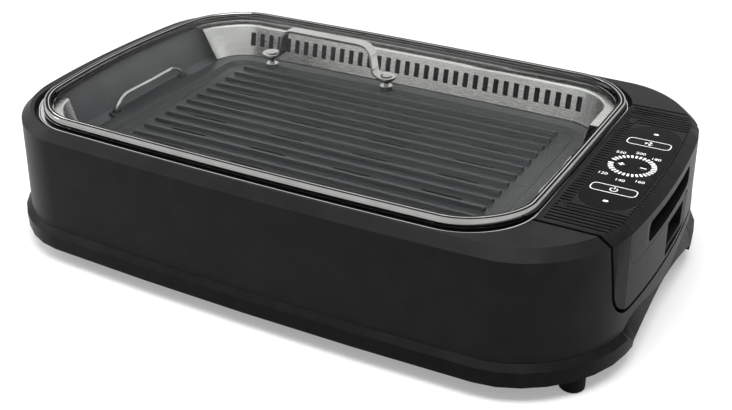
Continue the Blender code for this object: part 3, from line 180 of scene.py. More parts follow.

# %% [markdown]
# ## Stainless steels
# The surround is stainless sheet brushed along its length; brushing leaves fine scratches that
# smear a highlight sideways. The ring and the lid's bead are buffed bright. The lid's rim is
# buffed too, and its steel is painted a little darker than the ring's, as painted shade, which
# sets it off from the ring. The handles and the screws in sight are polished. Every metal keeps
# the default IOR, and its colour does the work.

# %% Steels
brushed_steel, tree, shader = finish("stainless_brushed", Metallic=1.0, Roughness=0.24)
tint(tree, shader, "#c6c6c4", "#d4d4d2", 30 * mm)
noise = grain(tree, shader, 0.3 * mm, 0.001 * mm, (0.03, 1, 1))
vary(tree, shader, "Roughness", noise, 0.20, 0.30)

# Painted shade: the rim's steel is tinted a little darker than the same steel of the ring.
buffed_painted_shade, tree, shader = finish("stainless_buffed_painted_shade", Metallic=1.0, Roughness=0.08)
tint(tree, shader, "#a2a2a0", "#aeaeac", 25 * mm)
vary(tree, shader, "Roughness", None, 0.06, 0.11, 9 * mm)

polished_steel, tree, shader = finish("stainless_polished", Metallic=1.0, Roughness=0.07)
tint(tree, shader, "#b4b4b2", "#c2c2c0", 20 * mm)
vary(tree, shader, "Roughness", None, 0.05, 0.10, 6 * mm)

mirror_steel, tree, shader = finish("stainless_buffed", Metallic=1.0, Roughness=0.09)
tint(tree, shader, "#c4c4c2", "#d2d2d0", 25 * mm)
vary(tree, shader, "Roughness", None, 0.07, 0.12, 9 * mm)
print("steels made")

# %% [markdown]
# ## Enamel and non-stick coat
# The well is steel under dark grey enamel, which flows out a little uneven, as orange peel does.
# The plate is cast aluminium under a sprayed non-stick coat. Its flecks are about a millimetre
# apart and its grain half of that, and together they spread each highlight along the bars.

# %% Coatings
enamel, tree, shader = finish("enamel_dark_grey", Roughness=0.5, IOR=1.5, Specular_IOR_Level=0.15)
tint(tree, shader, "#3c3c3e", "#464648", 40 * mm)
grain(tree, shader, 2.5 * mm, 0.02 * mm)

nonstick, tree, shader = finish("nonstick_on_aluminium", Roughness=0.30, IOR=1.45, Specular_IOR_Level=0.35)
tint(tree, shader, "#1f2021", "#2b2c2e", 1.2 * mm)
noise = grain(tree, shader, 0.6 * mm, 0.03 * mm)
vary(tree, shader, "Roughness", noise, 0.22, 0.36)
print("coatings made")

# %% [markdown]
# ## What is hidden inside
# These pieces are seen only when the grill is taken apart, but they are finished all the same, so
# that every pose looks right.

# %% Inner metals and ceramics
# Zinc plate on steel is a pale, slightly cloudy grey.
zinc_steel, tree, shader = finish("steel_zinc_plated", Metallic=1.0, Roughness=0.3)
tint(tree, shader, "#a9aaab", "#bcbdbe", 4 * mm)
grain(tree, shader, 0.5 * mm, 0.01 * mm)

# The heater's sheath is a nickel steel that goes brown and matt with heat.
element_steel, tree, shader = finish("nickel_steel_heat_darkened", Metallic=1.0, Roughness=0.42)
tint(tree, shader, "#3f3a38", "#5d5753", 7 * mm)
grain(tree, shader, 0.5 * mm, 0.02 * mm)

# Pressed aluminium is lighter than steel and spreads the light more.
pressed_aluminium, tree, shader = finish("aluminium_pressed", Metallic=1.0, Roughness=0.36)
tint(tree, shader, "#bfc0c2", "#cfd0d2", 8 * mm)
grain(tree, shader, 0.4 * mm, 0.008 * mm)

# Bright brass is warm, and so small here that only its colour is seen.
pin_brass, tree, shader = finish("brass_bright", Metallic=1.0, Roughness=0.22)
tint(tree, shader, "#c8ad6c", "#dcc384", 3 * mm)
grain(tree, shader, 0.3 * mm, 0.006 * mm)

# Fired steatite is cream and chalky.
steatite, tree, shader = finish("steatite_ceramic", Roughness=0.55, IOR=1.55)
tint(tree, shader, "#d8d2c6", "#e6e1d7", 4 * mm)
grain(tree, shader, 0.3 * mm, 0.02 * mm)

# Solder mask is a green lacquer with a soft shine.
circuit_board, tree, shader = finish("solder_mask_green", Roughness=0.35, IOR=1.5)
tint(tree, shader, "#0f4a26", "#176034", 5 * mm)
grain(tree, shader, 1.0 * mm, 0.02 * mm)
print("materials", len(bpy.data.materials))

# %% [markdown]
# ## Tempered glass
# The lid is 3 mm tempered glass. A pane this thin hardly moves what is seen through it, so it
# bends light next to nothing here, and a thin coat with the IOR of real glass gives the
# reflections. Light passes into the well through it, so shadow rays see it as clear; without that
# a path tracer would leave the inside dark.

# %% Glass
lid_clear, tree, shader = finish(
    "tempered_glass", Roughness=0.0, IOR=1.01, Transmission_Weight=1.0, Base_Color=linear("#fbfcfb"),
    Coat_Weight=0.05, Coat_Roughness=0.02, Coat_IOR=1.5)
path = add(tree, "ShaderNodeLightPath")
clear = add(tree, "ShaderNodeBsdfTransparent", Color=linear("#f6f8f7"))
mixed = add(tree, "ShaderNodeMixShader",
            [("Fac", path.outputs["Is Shadow Ray"]), (1, shader.outputs["BSDF"]), (2, clear.outputs["BSDF"])])
tree.links.new(mixed.outputs["Shader"], tree.nodes["Material Output"].inputs["Surface"])
print("glass made")

# %% [markdown]
# ## Camera
# The camera was fitted to the photograph: 29 degrees round to the control end, 28 degrees up, and a
# 56 mm lens about 0.9 m away. It is placed by its eye and the point that it looks at.

# %% Camera
eye, aim = Vector((0.4302, -0.7674, 0.4976)), Vector((0.0521, -0.0765, 0.0723))


def turned_to(place, target):
    """Where a camera or a lamp stands when it looks from one point at another."""
    return Matrix.Translation(place) @ (target - place).to_track_quat("-Z", "Y").to_matrix().to_4x4()


lens = bpy.data.cameras.new("camera")
lens.lens, lens.sensor_width = 56.28, 36.0
camera = bpy.data.objects.new("camera", lens)
camera.matrix_world = turned_to(eye, aim)
bpy.context.scene.collection.objects.link(camera)
bpy.context.scene.camera = camera
bpy.context.scene.view_settings.view_transform = "Standard"
print("camera", round((eye - aim).length, 3), "m away")

# %% [markdown]
# ## Floor and sky
# Both are white to the camera, and to rays off gloss or through glass, so that the steel and the
# lid show a white room too. To all other rays they are grey, so they add little light of their
# own. The floor is part diffuse and part glow: the glow keeps it white further out, and the
# diffuse part takes the object's shadow.


# %% Floor and sky
def seen_directly(tree):
    """A socket that is 1 for rays from the camera, off gloss or through glass, and 0 for diffuse light."""
    path = add(tree, "ShaderNodeLightPath")
    most = add(tree, "ShaderNodeMath",
               [(0, path.outputs["Is Camera Ray"]), (1, path.outputs["Is Glossy Ray"])], operation="MAXIMUM")
    return add(tree, "ShaderNodeMath", [(0, most.outputs[0]), (1, path.outputs["Is Transmission Ray"])],
               operation="MAXIMUM").outputs[0]


bm = bmesh.new()
bmesh.ops.create_grid(bm, x_segments=1, y_segments=1, size=6.0)
floor_mesh = bpy.data.meshes.new("floor")
bm.to_mesh(floor_mesh)
bm.free()
floor = bpy.data.objects.new("floor", floor_mesh)
bpy.context.scene.collection.objects.link(floor)

floor_paint, tree, shader = finish("floor_white", Roughness=0.9, Specular_IOR_Level=0.0,
                                   Base_Color=linear("#8c8c8c"))
white = add(tree, "ShaderNodeBsdfDiffuse", Color=linear("#ffffff"))
glow = add(tree, "ShaderNodeEmission", Color=linear("#ffffff"), Strength=1.0)
lit = add(tree, "ShaderNodeMixShader", [(1, white.outputs[0]), (2, glow.outputs[0])], Fac=0.32)
choice = add(tree, "ShaderNodeMixShader",
             [("Fac", seen_directly(tree)), (1, shader.outputs["BSDF"]), (2, lit.outputs[0])])
tree.links.new(choice.outputs[0], tree.nodes["Material Output"].inputs["Surface"])
floor_mesh.materials.append(floor_paint)

world = bpy.data.worlds.new("studio")
bpy.context.scene.world = world
world.use_nodes = True
sky = world.node_tree.nodes["Background"]
level = add(world.node_tree, "ShaderNodeMapRange", [("Value", seen_directly(world.node_tree))],
            To_Min=0.4, To_Max=1.0)
world.node_tree.links.new(level.outputs["Result"], sky.inputs["Strength"])
sky.inputs["Color"].default_value = (1.0, 1.0, 1.0, 1.0)
print("floor and sky made")

# %% [markdown]
# ## Lamps
# Three softboxes: one behind and above for the deck, one in front for the chamfer and the long
# wall, and one at the left for the far end. None of them is seen through the glass, and the first
# gives no gloss, because its reflection would cover the well.


# %% Softboxes
def softbox(name, place, target, size, watts):
    """A soft rectangular lamp turned to a target."""
    lamp = bpy.data.lights.new(name, "AREA")
    lamp.shape, lamp.size, lamp.size_y, lamp.energy = "RECTANGLE", size[0], size[1], watts
    item = bpy.data.objects.new(name, lamp)
    item.matrix_world = turned_to(Vector(place), Vector(target))
    item.visible_transmission = False
    bpy.context.scene.collection.objects.link(item)
    return item


top_light = softbox("top_light", (-0.2, 0.5, 1.5), (0, 0, 0.1), (1.6, 1.0), 13)
top_light.visible_glossy = False
softbox("front_light", (0.25, -0.45, 1.3), (0.1, -0.1, 0.1), (1.1, 0.5), 17)
softbox("left_light", (-1.5, -0.5, 0.8), (0, 0, 0.1), (0.8, 1.0), 10)
print("lamps", len(bpy.data.lights))

# %% [markdown]
# ## Dressing the CAD solids
# A CAD solid has knife-sharp edges, and no moulded or pressed piece has. Where the form is right,
# a copy of the solid is merged, its flat faces are joined again and a small Bevel rounds the edges.
# The copy takes the solid's place in the picture.


# %% Rounded copies
def place_piece(name, mesh, look, body, replaced, bevel=0.0, segments=2, limit=30.0):
    """Files a finished mesh as a piece that rides on a body and stands for its CAD nodes."""
    mesh.materials.clear()
    mesh.materials.append(look)
    mesh.shade_smooth()
    mesh.set_sharp_from_angle(angle=math.radians(limit))
    piece = bpy.data.objects.new(name, mesh)
    bpy.context.scene.collection.objects.link(piece)
    if bevel:
        edges = piece.modifiers.new("Rounded edges", "BEVEL")
        edges.width, edges.segments = bevel, segments
        edges.limit_method, edges.angle_limit = "ANGLE", math.radians(limit)
        edges.harden_normals = True
    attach(piece, body)
    if replaced:
        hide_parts(*replaced)


def merged(node):
    """A CAD solid's mesh with its points merged and its flat faces joined again."""
    bm = bmesh.new()
    bm.from_mesh(nodes[node].data)
    bmesh.ops.remove_doubles(bm, verts=bm.verts, dist=0.002 * mm)
    bmesh.ops.dissolve_limit(bm, angle_limit=math.radians(0.5), verts=bm.verts, edges=bm.edges)
    mesh = bpy.data.meshes.new(node + "_form")
    bm.to_mesh(mesh)
    bm.free()
    return mesh


bodies = frame["record"]["behaviour"]["bodies"]
body_of_node = {node: body for body, members in bodies.items() for node in members}


def dress(node, mesh, look, bevel=0.0):
    """Puts a mesh in one CAD solid's place."""
    place_piece(node + "_form", mesh, look, body_of_node[node], [node], bevel)


looks = {
    "base_pan": (smooth_abs, 0.6), "control_panel": (panel_acrylic, 0.15),
    "fan_button": (key_acrylic, 0.25), "power_button": (key_acrylic, 0.25),
    "power_inlet": (nylon, 0.35), "coupler_socket": (nylon, 0.3), "coupler_plug": (nylon, 0.3),
    "fan_housing": (nylon, 0.3), "terminal_block": (steatite, 0.4), "grill_plate": (nonstick, 0.8),
    "water_tray": (enamel, 0.25), "heater_flange": (enamel, 0.25), "lid_handle": (polished_steel, 0.45),
    "thermal_cutoff": (pressed_aluminium, 0.2), "motor_bracket": (zinc_steel, 0.25),
    "fan_motor": (element_steel, 0.4), "element_tie_left": (element_steel, 0.3),
    "element_tie_right": (element_steel, 0.3), "fan_guard": (zinc_steel, 0.15),
}
for node, (look, width) in looks.items():
    dress(node, merged(node), look, width * mm)
print("rounded", len(looks))

# %% [markdown]
# ## Solids kept as they are
# Wires, pins, screws and feet are round or tiny already, and the board and the fan are seen from
# far off. They stay the CAD's own, and only get their finish on the slot that they have.

# %% Plain solids
plain = {
    "fan_light": print_white, "power_light": print_white, "control_board": circuit_board,
    "inlet_pin_front": pin_brass, "inlet_pin_rear": pin_brass, "heating_element": element_steel,
    "temperature_probe": zinc_steel, "fan_lead": silicone,
    "fan_impeller": pressed_aluminium, "fan_shaft": zinc_steel, "fan_nut": pin_brass,
    "plate_handle_left": polished_steel, "plate_handle_right": polished_steel,
    "handle_washer_left": silicone, "handle_washer_right": silicone,
    "handle_screw_left": polished_steel, "handle_screw_right": polished_steel,
    "handle_nut_left": polished_steel, "handle_nut_right": polished_steel,
}
for row in ("front", "rear"):
    for side in ("left", "right"):
        plain[f"foot_{row}_{side}"] = silicone
        plain[f"screw_{row}_{side}"] = zinc_steel
for node, look in plain.items():
    nodes[node].data.materials.clear()
    nodes[node].data.materials.append(look)
print("plain", len(plain))

# %% [markdown]
# ## Outlines
# The body and the trim ring are rounded rectangles whose ends and sides bow outwards. A rectangle's
# corners are rounded by a vertex bevel, its long edges are subdivided, and then every point is
# moved in by how far along the side it lies. The body's corners are ovals, so its rectangle is
# bevelled while stretched and then pushed back.


# %% Outline of the body
def with_normals(points):
    """The points in order, each with its outward normal."""
    line = []
    for place, point in enumerate(points):
        along = (points[(place + 1) % len(points)] - points[place - 1]).normalized()
        line.append((point, Vector((along.y, -along.x))))
    return line


def outline(length, depth, corner_x, corner_y, end_bow, side_bow, centre=0.0):
    """A bowed rounded rectangle in metres, from the control end round."""
    stretch = corner_y / corner_x
    bm = bmesh.new()
    bmesh.ops.create_grid(bm, x_segments=1, y_segments=1, size=0.5)
    bmesh.ops.scale(bm, vec=(length * stretch, depth, 1), verts=bm.verts)
    bmesh.ops.bevel(bm, geom=bm.verts[:], offset=corner_y, segments=22, profile=0.5, affect="VERTICES",
                    material=-1, offset_type="OFFSET")
    bmesh.ops.scale(bm, vec=(1 / stretch, 1, 1), verts=bm.verts)
    long_edges = [edge for edge in bm.edges if edge.calc_length() > corner_x / 2]
    bmesh.ops.subdivide_edges(bm, edges=long_edges, cuts=12)
    face = max(bm.faces, key=lambda item: item.calc_area())
    points = []
    for vert in face.verts:
        x, y = vert.co.x, vert.co.y
        bent_x = x * (1 - 2 * end_bow / length * (2 * y / depth) ** 2)
        bent_y = y * (1 - 2 * side_bow / depth * (2 * x / length) ** 2)
        points.append(Vector((bent_x + centre, bent_y)))
    bm.free()
    if sum(a.x * b.y - b.x * a.y for a, b in zip(points, points[1:] + points[:1])) < 0:
        points.reverse()
    start = max(range(len(points)), key=lambda place: points[place].x - abs(points[place].y))
    return with_normals(points[start:] + points[:start])


body_line = outline(0.540, 0.3412, 0.069, 0.078, 0.0173, 0.0078)
print("points on the body", len(body_line))

# %% [markdown]
# ## Outlines of the well, the ring and the lid
# The ring, the deck's opening and the lid bow out further at the far end than the well's floor
# does, and the lid hangs over at the control end. So the well's outline is drawn out at its ends,
# most in the middle and not at all at the corners.


# %% Outlines of the well
def smooth_step(t):
    """Eases from 0 to 1."""
    t = min(max(t, 0.0), 1.0)
    return t * t * (3 - 2 * t)


ring_x = -0.019
ring_middle = Vector((ring_x, 0.0))


def drawn_out(line, left, right):
    """The line with its left end bowed out and its right end moved out, each by so many mm."""
    points = []
    for point, _ in line:
        if point.x < ring_middle.x:
            push = -left * max(0.0, 1 - (point.y / 0.135) ** 2)
        else:
            push = right * smooth_step((0.142 - abs(point.y)) / 0.05)
        points.append(point + Vector((push * mm, 0.0)))
    return with_normals(points)


well_line = outline(0.442, 0.314, 0.056, 0.056, 0.001, 0.0047, ring_x)
ring_line = drawn_out(well_line, 13.0, 0.0)
lid_line = drawn_out(well_line, 13.0, 4.0)
print("points on the ring", len(ring_line))

# %% [markdown]
# ## Lofts round an outline
# A shell starts as one loop of edges on the outline. Each extrusion of the loop is moved out or in
# along the outline's normals and up or down, so a short list of stations gives the section. A
# station is a line, how far out from it, and its level, both in mm.


# %% Loft
def verts_of(geom):
    """The vertices among what an operator made."""
    return [item for item in geom if isinstance(item, bmesh.types.BMVert)]


def lofted(stations, closed=True, part=None):
    """Extrudes an outline through stations of (line, out, level) or (line, out, level, share)."""
    bm = bmesh.new()
    tag = bm.verts.layers.int.new("place")

    def spot(place, station):
        line, out, level, *share = station
        point, normal = line[place]
        base = ring_middle + (point - ring_middle) * share[0] if share else point
        flat = base + normal * out * mm
        return Vector((flat.x, flat.y, (level(point) if callable(level) else level) * mm))

    row = []
    for place in part if part is not None else range(len(stations[0][0])):
        vert = bm.verts.new(spot(place, stations[0]))
        vert[tag] = place
        row.append(vert)
    pairs = list(zip(row, row[1:])) + ([(row[-1], row[0])] if part is None else [])
    edges = [bm.edges.new(pair) for pair in pairs]
    for station in stations[1:] + (stations[:1] if closed else []):
        grown = bmesh.ops.extrude_edge_only(bm, edges=edges)["geom"]
        new = set(verts_of(grown))
        for vert in new:
            vert.co = spot(vert[tag], station)
        edges = [item for item in grown if isinstance(item, bmesh.types.BMEdge) and set(item.verts) <= new]
    bmesh.ops.remove_doubles(bm, verts=bm.verts, dist=0.001 * mm)
    bmesh.ops.holes_fill(bm, edges=[edge for edge in bm.edges if edge.is_boundary], sides=0)
    bmesh.ops.recalc_face_normals(bm, faces=bm.faces)
    if bm.calc_volume(signed=True) < 0:
        bmesh.ops.reverse_faces(bm, faces=bm.faces)
    return bm


def mesh_of(bm, name):
    """A bmesh written to a new mesh."""
    mesh = bpy.data.meshes.new(name)
    bm.to_mesh(mesh)
    bm.free()
    return mesh


print("loft ready")

# %% [markdown]
# ## Tools that cut
# Openings, slots and drilled holes are cut as a shop would cut them: a tool of the hole's shape is
# made, and an exact Boolean takes it away.


# %% Cutters
def prism(loops, start, end, axis):
    """Flat outlines extruded from start to end along X or Y, as one bmesh."""
    def spot(a, b, along):
        return (along, a, b) if axis == "X" else (a, along, b)

    bm = bmesh.new()
    for loop in loops:
        face = bm.faces.new([bm.verts.new(spot(a, b, start)) for a, b in loop])
        grown = bmesh.ops.extrude_face_region(bm, geom=[face])["geom"]
        bmesh.ops.translate(bm, vec=spot(0, 0, end - start), verts=verts_of(grown))
    bmesh.ops.recalc_face_normals(bm, faces=bm.faces)
    return bm


def add_box(bm, middle, size):
    """Adds a box with its middle and its size in mm."""
    made = bmesh.ops.create_cube(bm, size=1.0)["verts"]
    bmesh.ops.scale(bm, vec=Vector(size) * mm, verts=made)
    bmesh.ops.translate(bm, vec=Vector(middle) * mm, verts=made)


def block(low, high):
    """A box between two corners given in mm."""
    bm = bmesh.new()
    add_box(bm, (Vector(low) + Vector(high)) / 2, Vector(high) - Vector(low))
    return bm


def rod(x, level, radius, depth, segments):
    """An upright rod on the object's long axis, in mm."""
    bm = bmesh.new()
    bmesh.ops.create_cone(bm, cap_ends=True, segments=segments, radius1=radius * mm, radius2=radius * mm,
                          depth=depth * mm)
    bmesh.ops.translate(bm, vec=(x * mm, 0, level * mm), verts=bm.verts)
    return bm


def carved(mesh, cutter, operation="DIFFERENCE"):
    """The mesh after an exact Boolean with a cutter's bmesh; both are used up."""
    base = bpy.data.objects.new("base", mesh)
    tool = bpy.data.objects.new("tool", mesh_of(cutter, "tool"))
    for item in (base, tool):
        bpy.context.scene.collection.objects.link(item)
    step = base.modifiers.new("Cut", "BOOLEAN")
    step.object, step.operation, step.solver = tool, operation, "EXACT"
    bpy.context.view_layer.update()
    out = bpy.data.meshes.new_from_object(base.evaluated_get(bpy.context.evaluated_depsgraph_get()))
    for item in (base, tool):
        bpy.data.objects.remove(item)
    return out


print("cutters ready")

# %% [markdown]
# ## Body shell
# One moulding: a drafted wall, a chamfer, a flat deck, and a recess whose ledge carries the well.
# The control unit's bay is cut from its end. The wall's foot rises over the hand holds, so the
# loft's lowest stations follow a curve instead of a level.

# %% Body
deck = 117.2
hand_half = 0.078  # half the width of a hand hold, in metres


def seam(point):
    """The height of the seam between base and body, in mm."""
    share = abs(point.y) / hand_half
    return 31.6 + 7 * smooth_step((share - 0.2) / 0.7) * smooth_step((1.08 - share) / 0.18)


def bay_profile(grow):
    """The bay's outline seen from its end, in metres, grown by so many mm."""
    corner = 25 + grow
    side = [(111.5 + grow, 140), (111.5 + grow, deck)]
    for step in range(13):
        turn = math.pi / 2 * step / 12
        side.append((105.5 - 25 + corner * math.cos(turn), 48.8 + 25 - corner * math.sin(turn)))
    return [(a * mm, b * mm) for a, b in side + [(-y, z) for y, z in reversed(side)]]


shell = mesh_of(lofted([
    (body_line, -10.0, 114.7), (body_line, -2.5, 108.7), (body_line, -0.6, seam), (body_line, 1.9, seam),
    (body_line, 0.0, 109.9), (body_line, -8.0, deck)], closed=False), "body_shell_form")
ledge = lofted([(ring_line, 4.7, 108.8), (ring_line, 4.7, 116.0)], closed=False)
opening = lofted([
    (ring_line, -5.0, 90.0), (ring_line, -5.0, 111.0), (ring_line, 2.2, 111.0), (ring_line, 3.0, deck),
    (ring_line, 3.0, 140.0)], closed=False)
shell = carved(carved(shell, ledge, "UNION"), opening)
shell = carved(shell, prism([bay_profile(2.7)], 0.182, 0.31, "X"))
place_piece("body_shell_form", shell, grained_abs, "base", ["body_shell"], 0.7 * mm, 3, 25)

# %% [markdown]
# ## Well and trim ring
# The well is pressed and enamelled, with a shoulder for the plate. Its right wall is cut open for
# the heater, and its floor for the fan. The ring on its flange is rolled over at its outer edge,
# which draws the bright line round the lid.

# %% Well and ring
tub = mesh_of(lofted([
    (well_line, -39.0, 46.8), (well_line, -35.8, 80.1), (well_line, -8.6, 80.1), (ring_line, -7.0, 111.3),
    (ring_line, -0.2, 111.3), (ring_line, -0.2, 112.5), (ring_line, -8.2, 112.5), (well_line, -9.8, 81.3),
    (well_line, -37.0, 81.3), (well_line, -40.2, 48.0)], closed=False), "inner_tub_form")
heater_way, fan_way = block((141, -100, 62.5), (225, 100, 140)), rod(-19, 47, 44, 20, 64)
tub = carved(carved(tub, heater_way), fan_way)
place_piece("inner_tub_form", tub, enamel, "base", ["inner_tub"], 0.5 * mm, 2, 35)

rolled = [(0.0, 112.8), (0.0, 114.4), (-0.25, 115.0), (-0.8, 115.3), (-1.4, 115.1), (-1.9, 114.6),
          (-9.5, 114.6), (-9.5, 113.7), (-0.9, 113.7), (-0.9, 112.8)]
ring = mesh_of(lofted([(ring_line, out, level) for out, level in rolled]), "trim_ring_form")
place_piece("trim_ring_form", ring, mirror_steel, "surround", ["trim_ring"])

# %% [markdown]
# ## Steel surround
# A bent sheet 0.6 mm thick, open at the far end, where it reaches round both corners. Its lip
# curls over into a sloping wall. The rear wall has air slots with their corners just broken, and
# the lip is cut free where the plate's right handle stands. The loft runs over a part of the
# outline only, and the slots are one tool.


# %% Surround
def frame_loop(middle, length, width, corner, steps=8):
    """A rounded rectangle's points in mm."""
    loop = []
    for sign_x, sign_y, start in ((1, 1, 0), (-1, 1, 90), (-1, -1, 180), (1, -1, 270)):
        for step in range(steps + 1):
            turn = math.radians(start + 90 * step / steps)
            loop.append((middle[0] + sign_x * (length / 2 - corner) + corner * math.cos(turn),
                         middle[1] + sign_y * (width / 2 - corner) + corner * math.sin(turn)))
    return loop


def slot_loop(middle):
    """One air slot seen from the front, 5 by 13 mm with its corners just broken, in metres."""
    return [(x * mm, z * mm) for x, z in frame_loop((middle, 100.0), 5.0, 13.0, 0.8, 4)]


def curl(radius, top):
    """A quarter turn of the lip, as (out, level) in mm."""
    turns = [math.pi / 2 * step / 4 for step in range(5)]
    return [(-18.8 - radius * math.sin(turn), top - radius * (1 - math.cos(turn))) for turn in turns]


wrapped = [place for place, (point, _) in enumerate(well_line) if point.x > -0.2 or abs(point.y) > 0.1005]
front = [place for place in wrapped if well_line[place][0].y < 0]
back = [place for place in wrapped if well_line[place][0].y >= 0]
sheet = [(-4.0, 112.8), (-4.0, 113.4)] + curl(1.8, 113.4) + [(-26.8, 84.3), (-26.2, 84.3)]
sheet += curl(1.2, 112.8)[::-1]
surround = mesh_of(lofted([(ring_line if level > 100 else well_line, out, level) for out, level in sheet],
                          part=front + back), "steel_surround_form")
slot_count, slot_step = 35, 10
slots = [slot_loop(-19 + (count - slot_count // 2) * slot_step) for count in range(slot_count)]
surround = carved(surround, prism(slots, 0.1258, 0.142, "Y"))
surround = carved(surround, block((150, -100, 64), (190.5, 64, 133)))
place_piece("steel_surround_form", surround, brushed_steel, "surround", ["steel_surround"])
print("slots", len(slots))

# %% [markdown]
# ## Lid's rim
# Stainless strip rolled round the edge of the pane. A silicone seal fills the gap between them,
# with a bright bead along it, and a gasket under the rim sits on the ring. Each is a closed
# section carried round the lid's outline.


# %% Rim, gasket, seal and bead
def hoop(name, section, look, replaced=()):
    """A closed section of (out, level) in mm carried round the lid's outline, riding on the lid."""
    form = mesh_of(lofted([(lid_line, out, level) for out, level in section]), name)
    place_piece(name, form, look, "lid", replaced)


rim = [(-4.4, 117.0), (-4.5, 118.6), (-5.2, 121.2), (-5.7, 122.1), (-6.3, 122.4), (-6.8, 122.2),
       (-6.9, 121.4), (-6.2, 118.2), (-6.2, 117.8), (-12.9, 117.8), (-12.9, 117.0)]
gasket = [(-5.0, 115.4), (-5.0, 116.9), (-12.4, 116.9), (-12.4, 115.4)]
seal = [(-6.95, 121.4), (-6.95, 121.9), (-8.0, 122.15), (-10.4, 122.15), (-11.3, 121.9), (-11.4, 121.4)]
round_turns = [math.tau * step / 12 for step in range(12)]
bead = [(-9.2 + 0.6 * math.cos(turn), 121.8 + 0.6 * math.sin(turn)) for turn in round_turns]
hoop("lid_rim_form", rim, buffed_painted_shade, ["lid_rim"])
hoop("lid_gasket_form", gasket, silicone, ["lid_gasket"])
hoop("edge_seal", seal, silicone)
hoop("edge_bead", bead, mirror_steel)

# %% [markdown]
# ## Glass pane
# A pane 3.2 mm thick that domes up towards its middle, drilled for the handle's two screws. It is
# lofted from scaled copies of the lid's outline, as the CAD solid is, with many more steps, so
# that its highlight runs smoothly. It is closed all round, because glass needs two faces.

# %% Pane
shares = [0.03, 0.1, 0.2, 0.3, 0.4, 0.5, 0.6, 0.68, 0.76, 0.83, 0.89, 0.94, 0.98, 1.0]
glass_thick = 3.2


def dome(share):
    """The height of the pane's top in mm, from its middle at 0 to its edge at 1."""
    return 121.3 + 24.5 * (1 - share ** 2.2)


under = [(lid_line, -13.7 * share, dome(share) - glass_thick, share) for share in shares]
over = [(lid_line, -13.7 * share, dome(share), share) for share in reversed(shares)]
edge = [(lid_line, -8.5, 118.1), (lid_line, -8.5, 121.3)]
pane = mesh_of(lofted(under + edge + over, closed=False), "lid_glass_form")
for handle_x in (-81, 29):
    pane = carved(pane, rod(handle_x, 140, 2.3, 60, 32))
place_piece("lid_glass_form", pane, lid_clear, "lid", ["lid_glass"], limit=40)

# %% [markdown]
# ## Control unit
# The moulded ribs of the deck run on over the cover, up to the panel and out to the chamfer, where
# they break its edge into short dashes. They are grooves in the real moulding, so each row of them
# is cut at once.


# %% Ribs
def drawn_back(y):
    """How far the control end has drawn back at a place across it, in mm."""
    return 17.3 * (y / 170.6) ** 2


def grooves(spans, low, high=121):
    """Boxes for spans of (start, end, row) in mm, each 2 mm wide across Y, as one bmesh."""
    bm = bmesh.new()
    for start, end, row in spans:
        add_box(bm, ((start + end) / 2, row, (low + high) / 2), (end - start, 2.0, high - low))
    return bm


def to_chamfer(start, row):
    """A rib's span from a place along it to the chamfer, which follows the control end."""
    return (start, 262.3 - drawn_back(row), row)


rows = [(count - 23.5) * 4.5 for count in range(48)]
outer = [row for row in rows if abs(row) > 85.5]
inner = [row for row in rows if abs(row) < 84.5]
beside = [row for row in inner if abs(row) > 76]
facing = [row for row in inner if abs(row) < 76]
housing_cuts = [(209.3, 211.7, row) for row in facing]
housing_cuts += [to_chamfer(257.0 - drawn_back(row), row) for row in outer]
cover_cuts = [(210.0, 215.6, row) for row in facing]
cover_cuts += [to_chamfer(260.6 - drawn_back(row), row) for row in facing]
cover_cuts += [to_chamfer(214.4, row) for row in beside]
housing = carved(merged("control_housing"), grooves(housing_cuts, 116.2))
dress("control_housing", housing, smooth_abs, 0.22 * mm)
cover = carved(merged("control_cover"), grooves(cover_cuts, 116.4))
dress("control_cover", cover, smooth_abs, 0.3 * mm)
print("grooves", len(housing_cuts), "and", len(cover_cuts))

# %% [markdown]
# ## Round keys
# The two round keys are dished, so that a finger finds them. Half of the section is spun round
# the key's own axis, and the points on the axis are merged.

# %% Keys
plus_x, dial_x, minus_x = 228.6, 237, 245.4
key_section = [(0, 117.0), (2.0, 117.05), (3.6, 117.22), (4.6, 117.48), (4.9, 117.5), (5.0, 117.4),
               (5.0, 114.4), (6.5, 114.4), (6.5, 113.2), (1.6, 113.2), (1.6, 108.3), (0, 108.3)]
for node, x in (("plus_button", plus_x), ("minus_button", minus_x)):
    bm = bmesh.new()
    verts = [bm.verts.new((x * mm + radius * mm, 0, level * mm)) for radius, level in key_section]
    edges = [bm.edges.new(pair) for pair in zip(verts, verts[1:])]
    bmesh.ops.spin(bm, geom=verts + edges, cent=(x * mm, 0, 0), axis=(0, 0, 1), angle=math.tau, steps=48,
                   use_merge=True)
    bmesh.ops.remove_doubles(bm, verts=bm.verts, dist=0.002 * mm)
    bmesh.ops.recalc_face_normals(bm, faces=bm.faces)
    dress(node, mesh_of(bm, node + "_form"), key_acrylic)

# %% [markdown]
# ## Print
# White ink, thin as it is, has a thickness, so it is a solid 0.03 mm high: a frame and a plain sign
# on each long key, a plus and a minus, and plain numbers round the dial.


# %% Ink
ink = 0.03
key_top = 117.5


def arc(middle, radius, start, end, steps=16):
    """Points along an arc in mm, between two angles in degrees."""
    turns = [math.radians(start + (end - start) * step / steps) for step in range(steps + 1)]
    return [(middle[0] + radius * math.cos(turn), middle[1] + radius * math.sin(turn)) for turn in turns]


def blade_edge(middle, start, sweep):
    """One edge of a blade of the fan sign: it turns as it goes out to 3.4 mm."""
    turns = [(share, math.radians(start + sweep * share)) for share in (0.16, 0.4, 0.7, 1.0)]
    return [(middle[0] + math.cos(turn) * share * 3.4, middle[1] + math.sin(turn) * share * 3.4)
            for share, turn in turns]


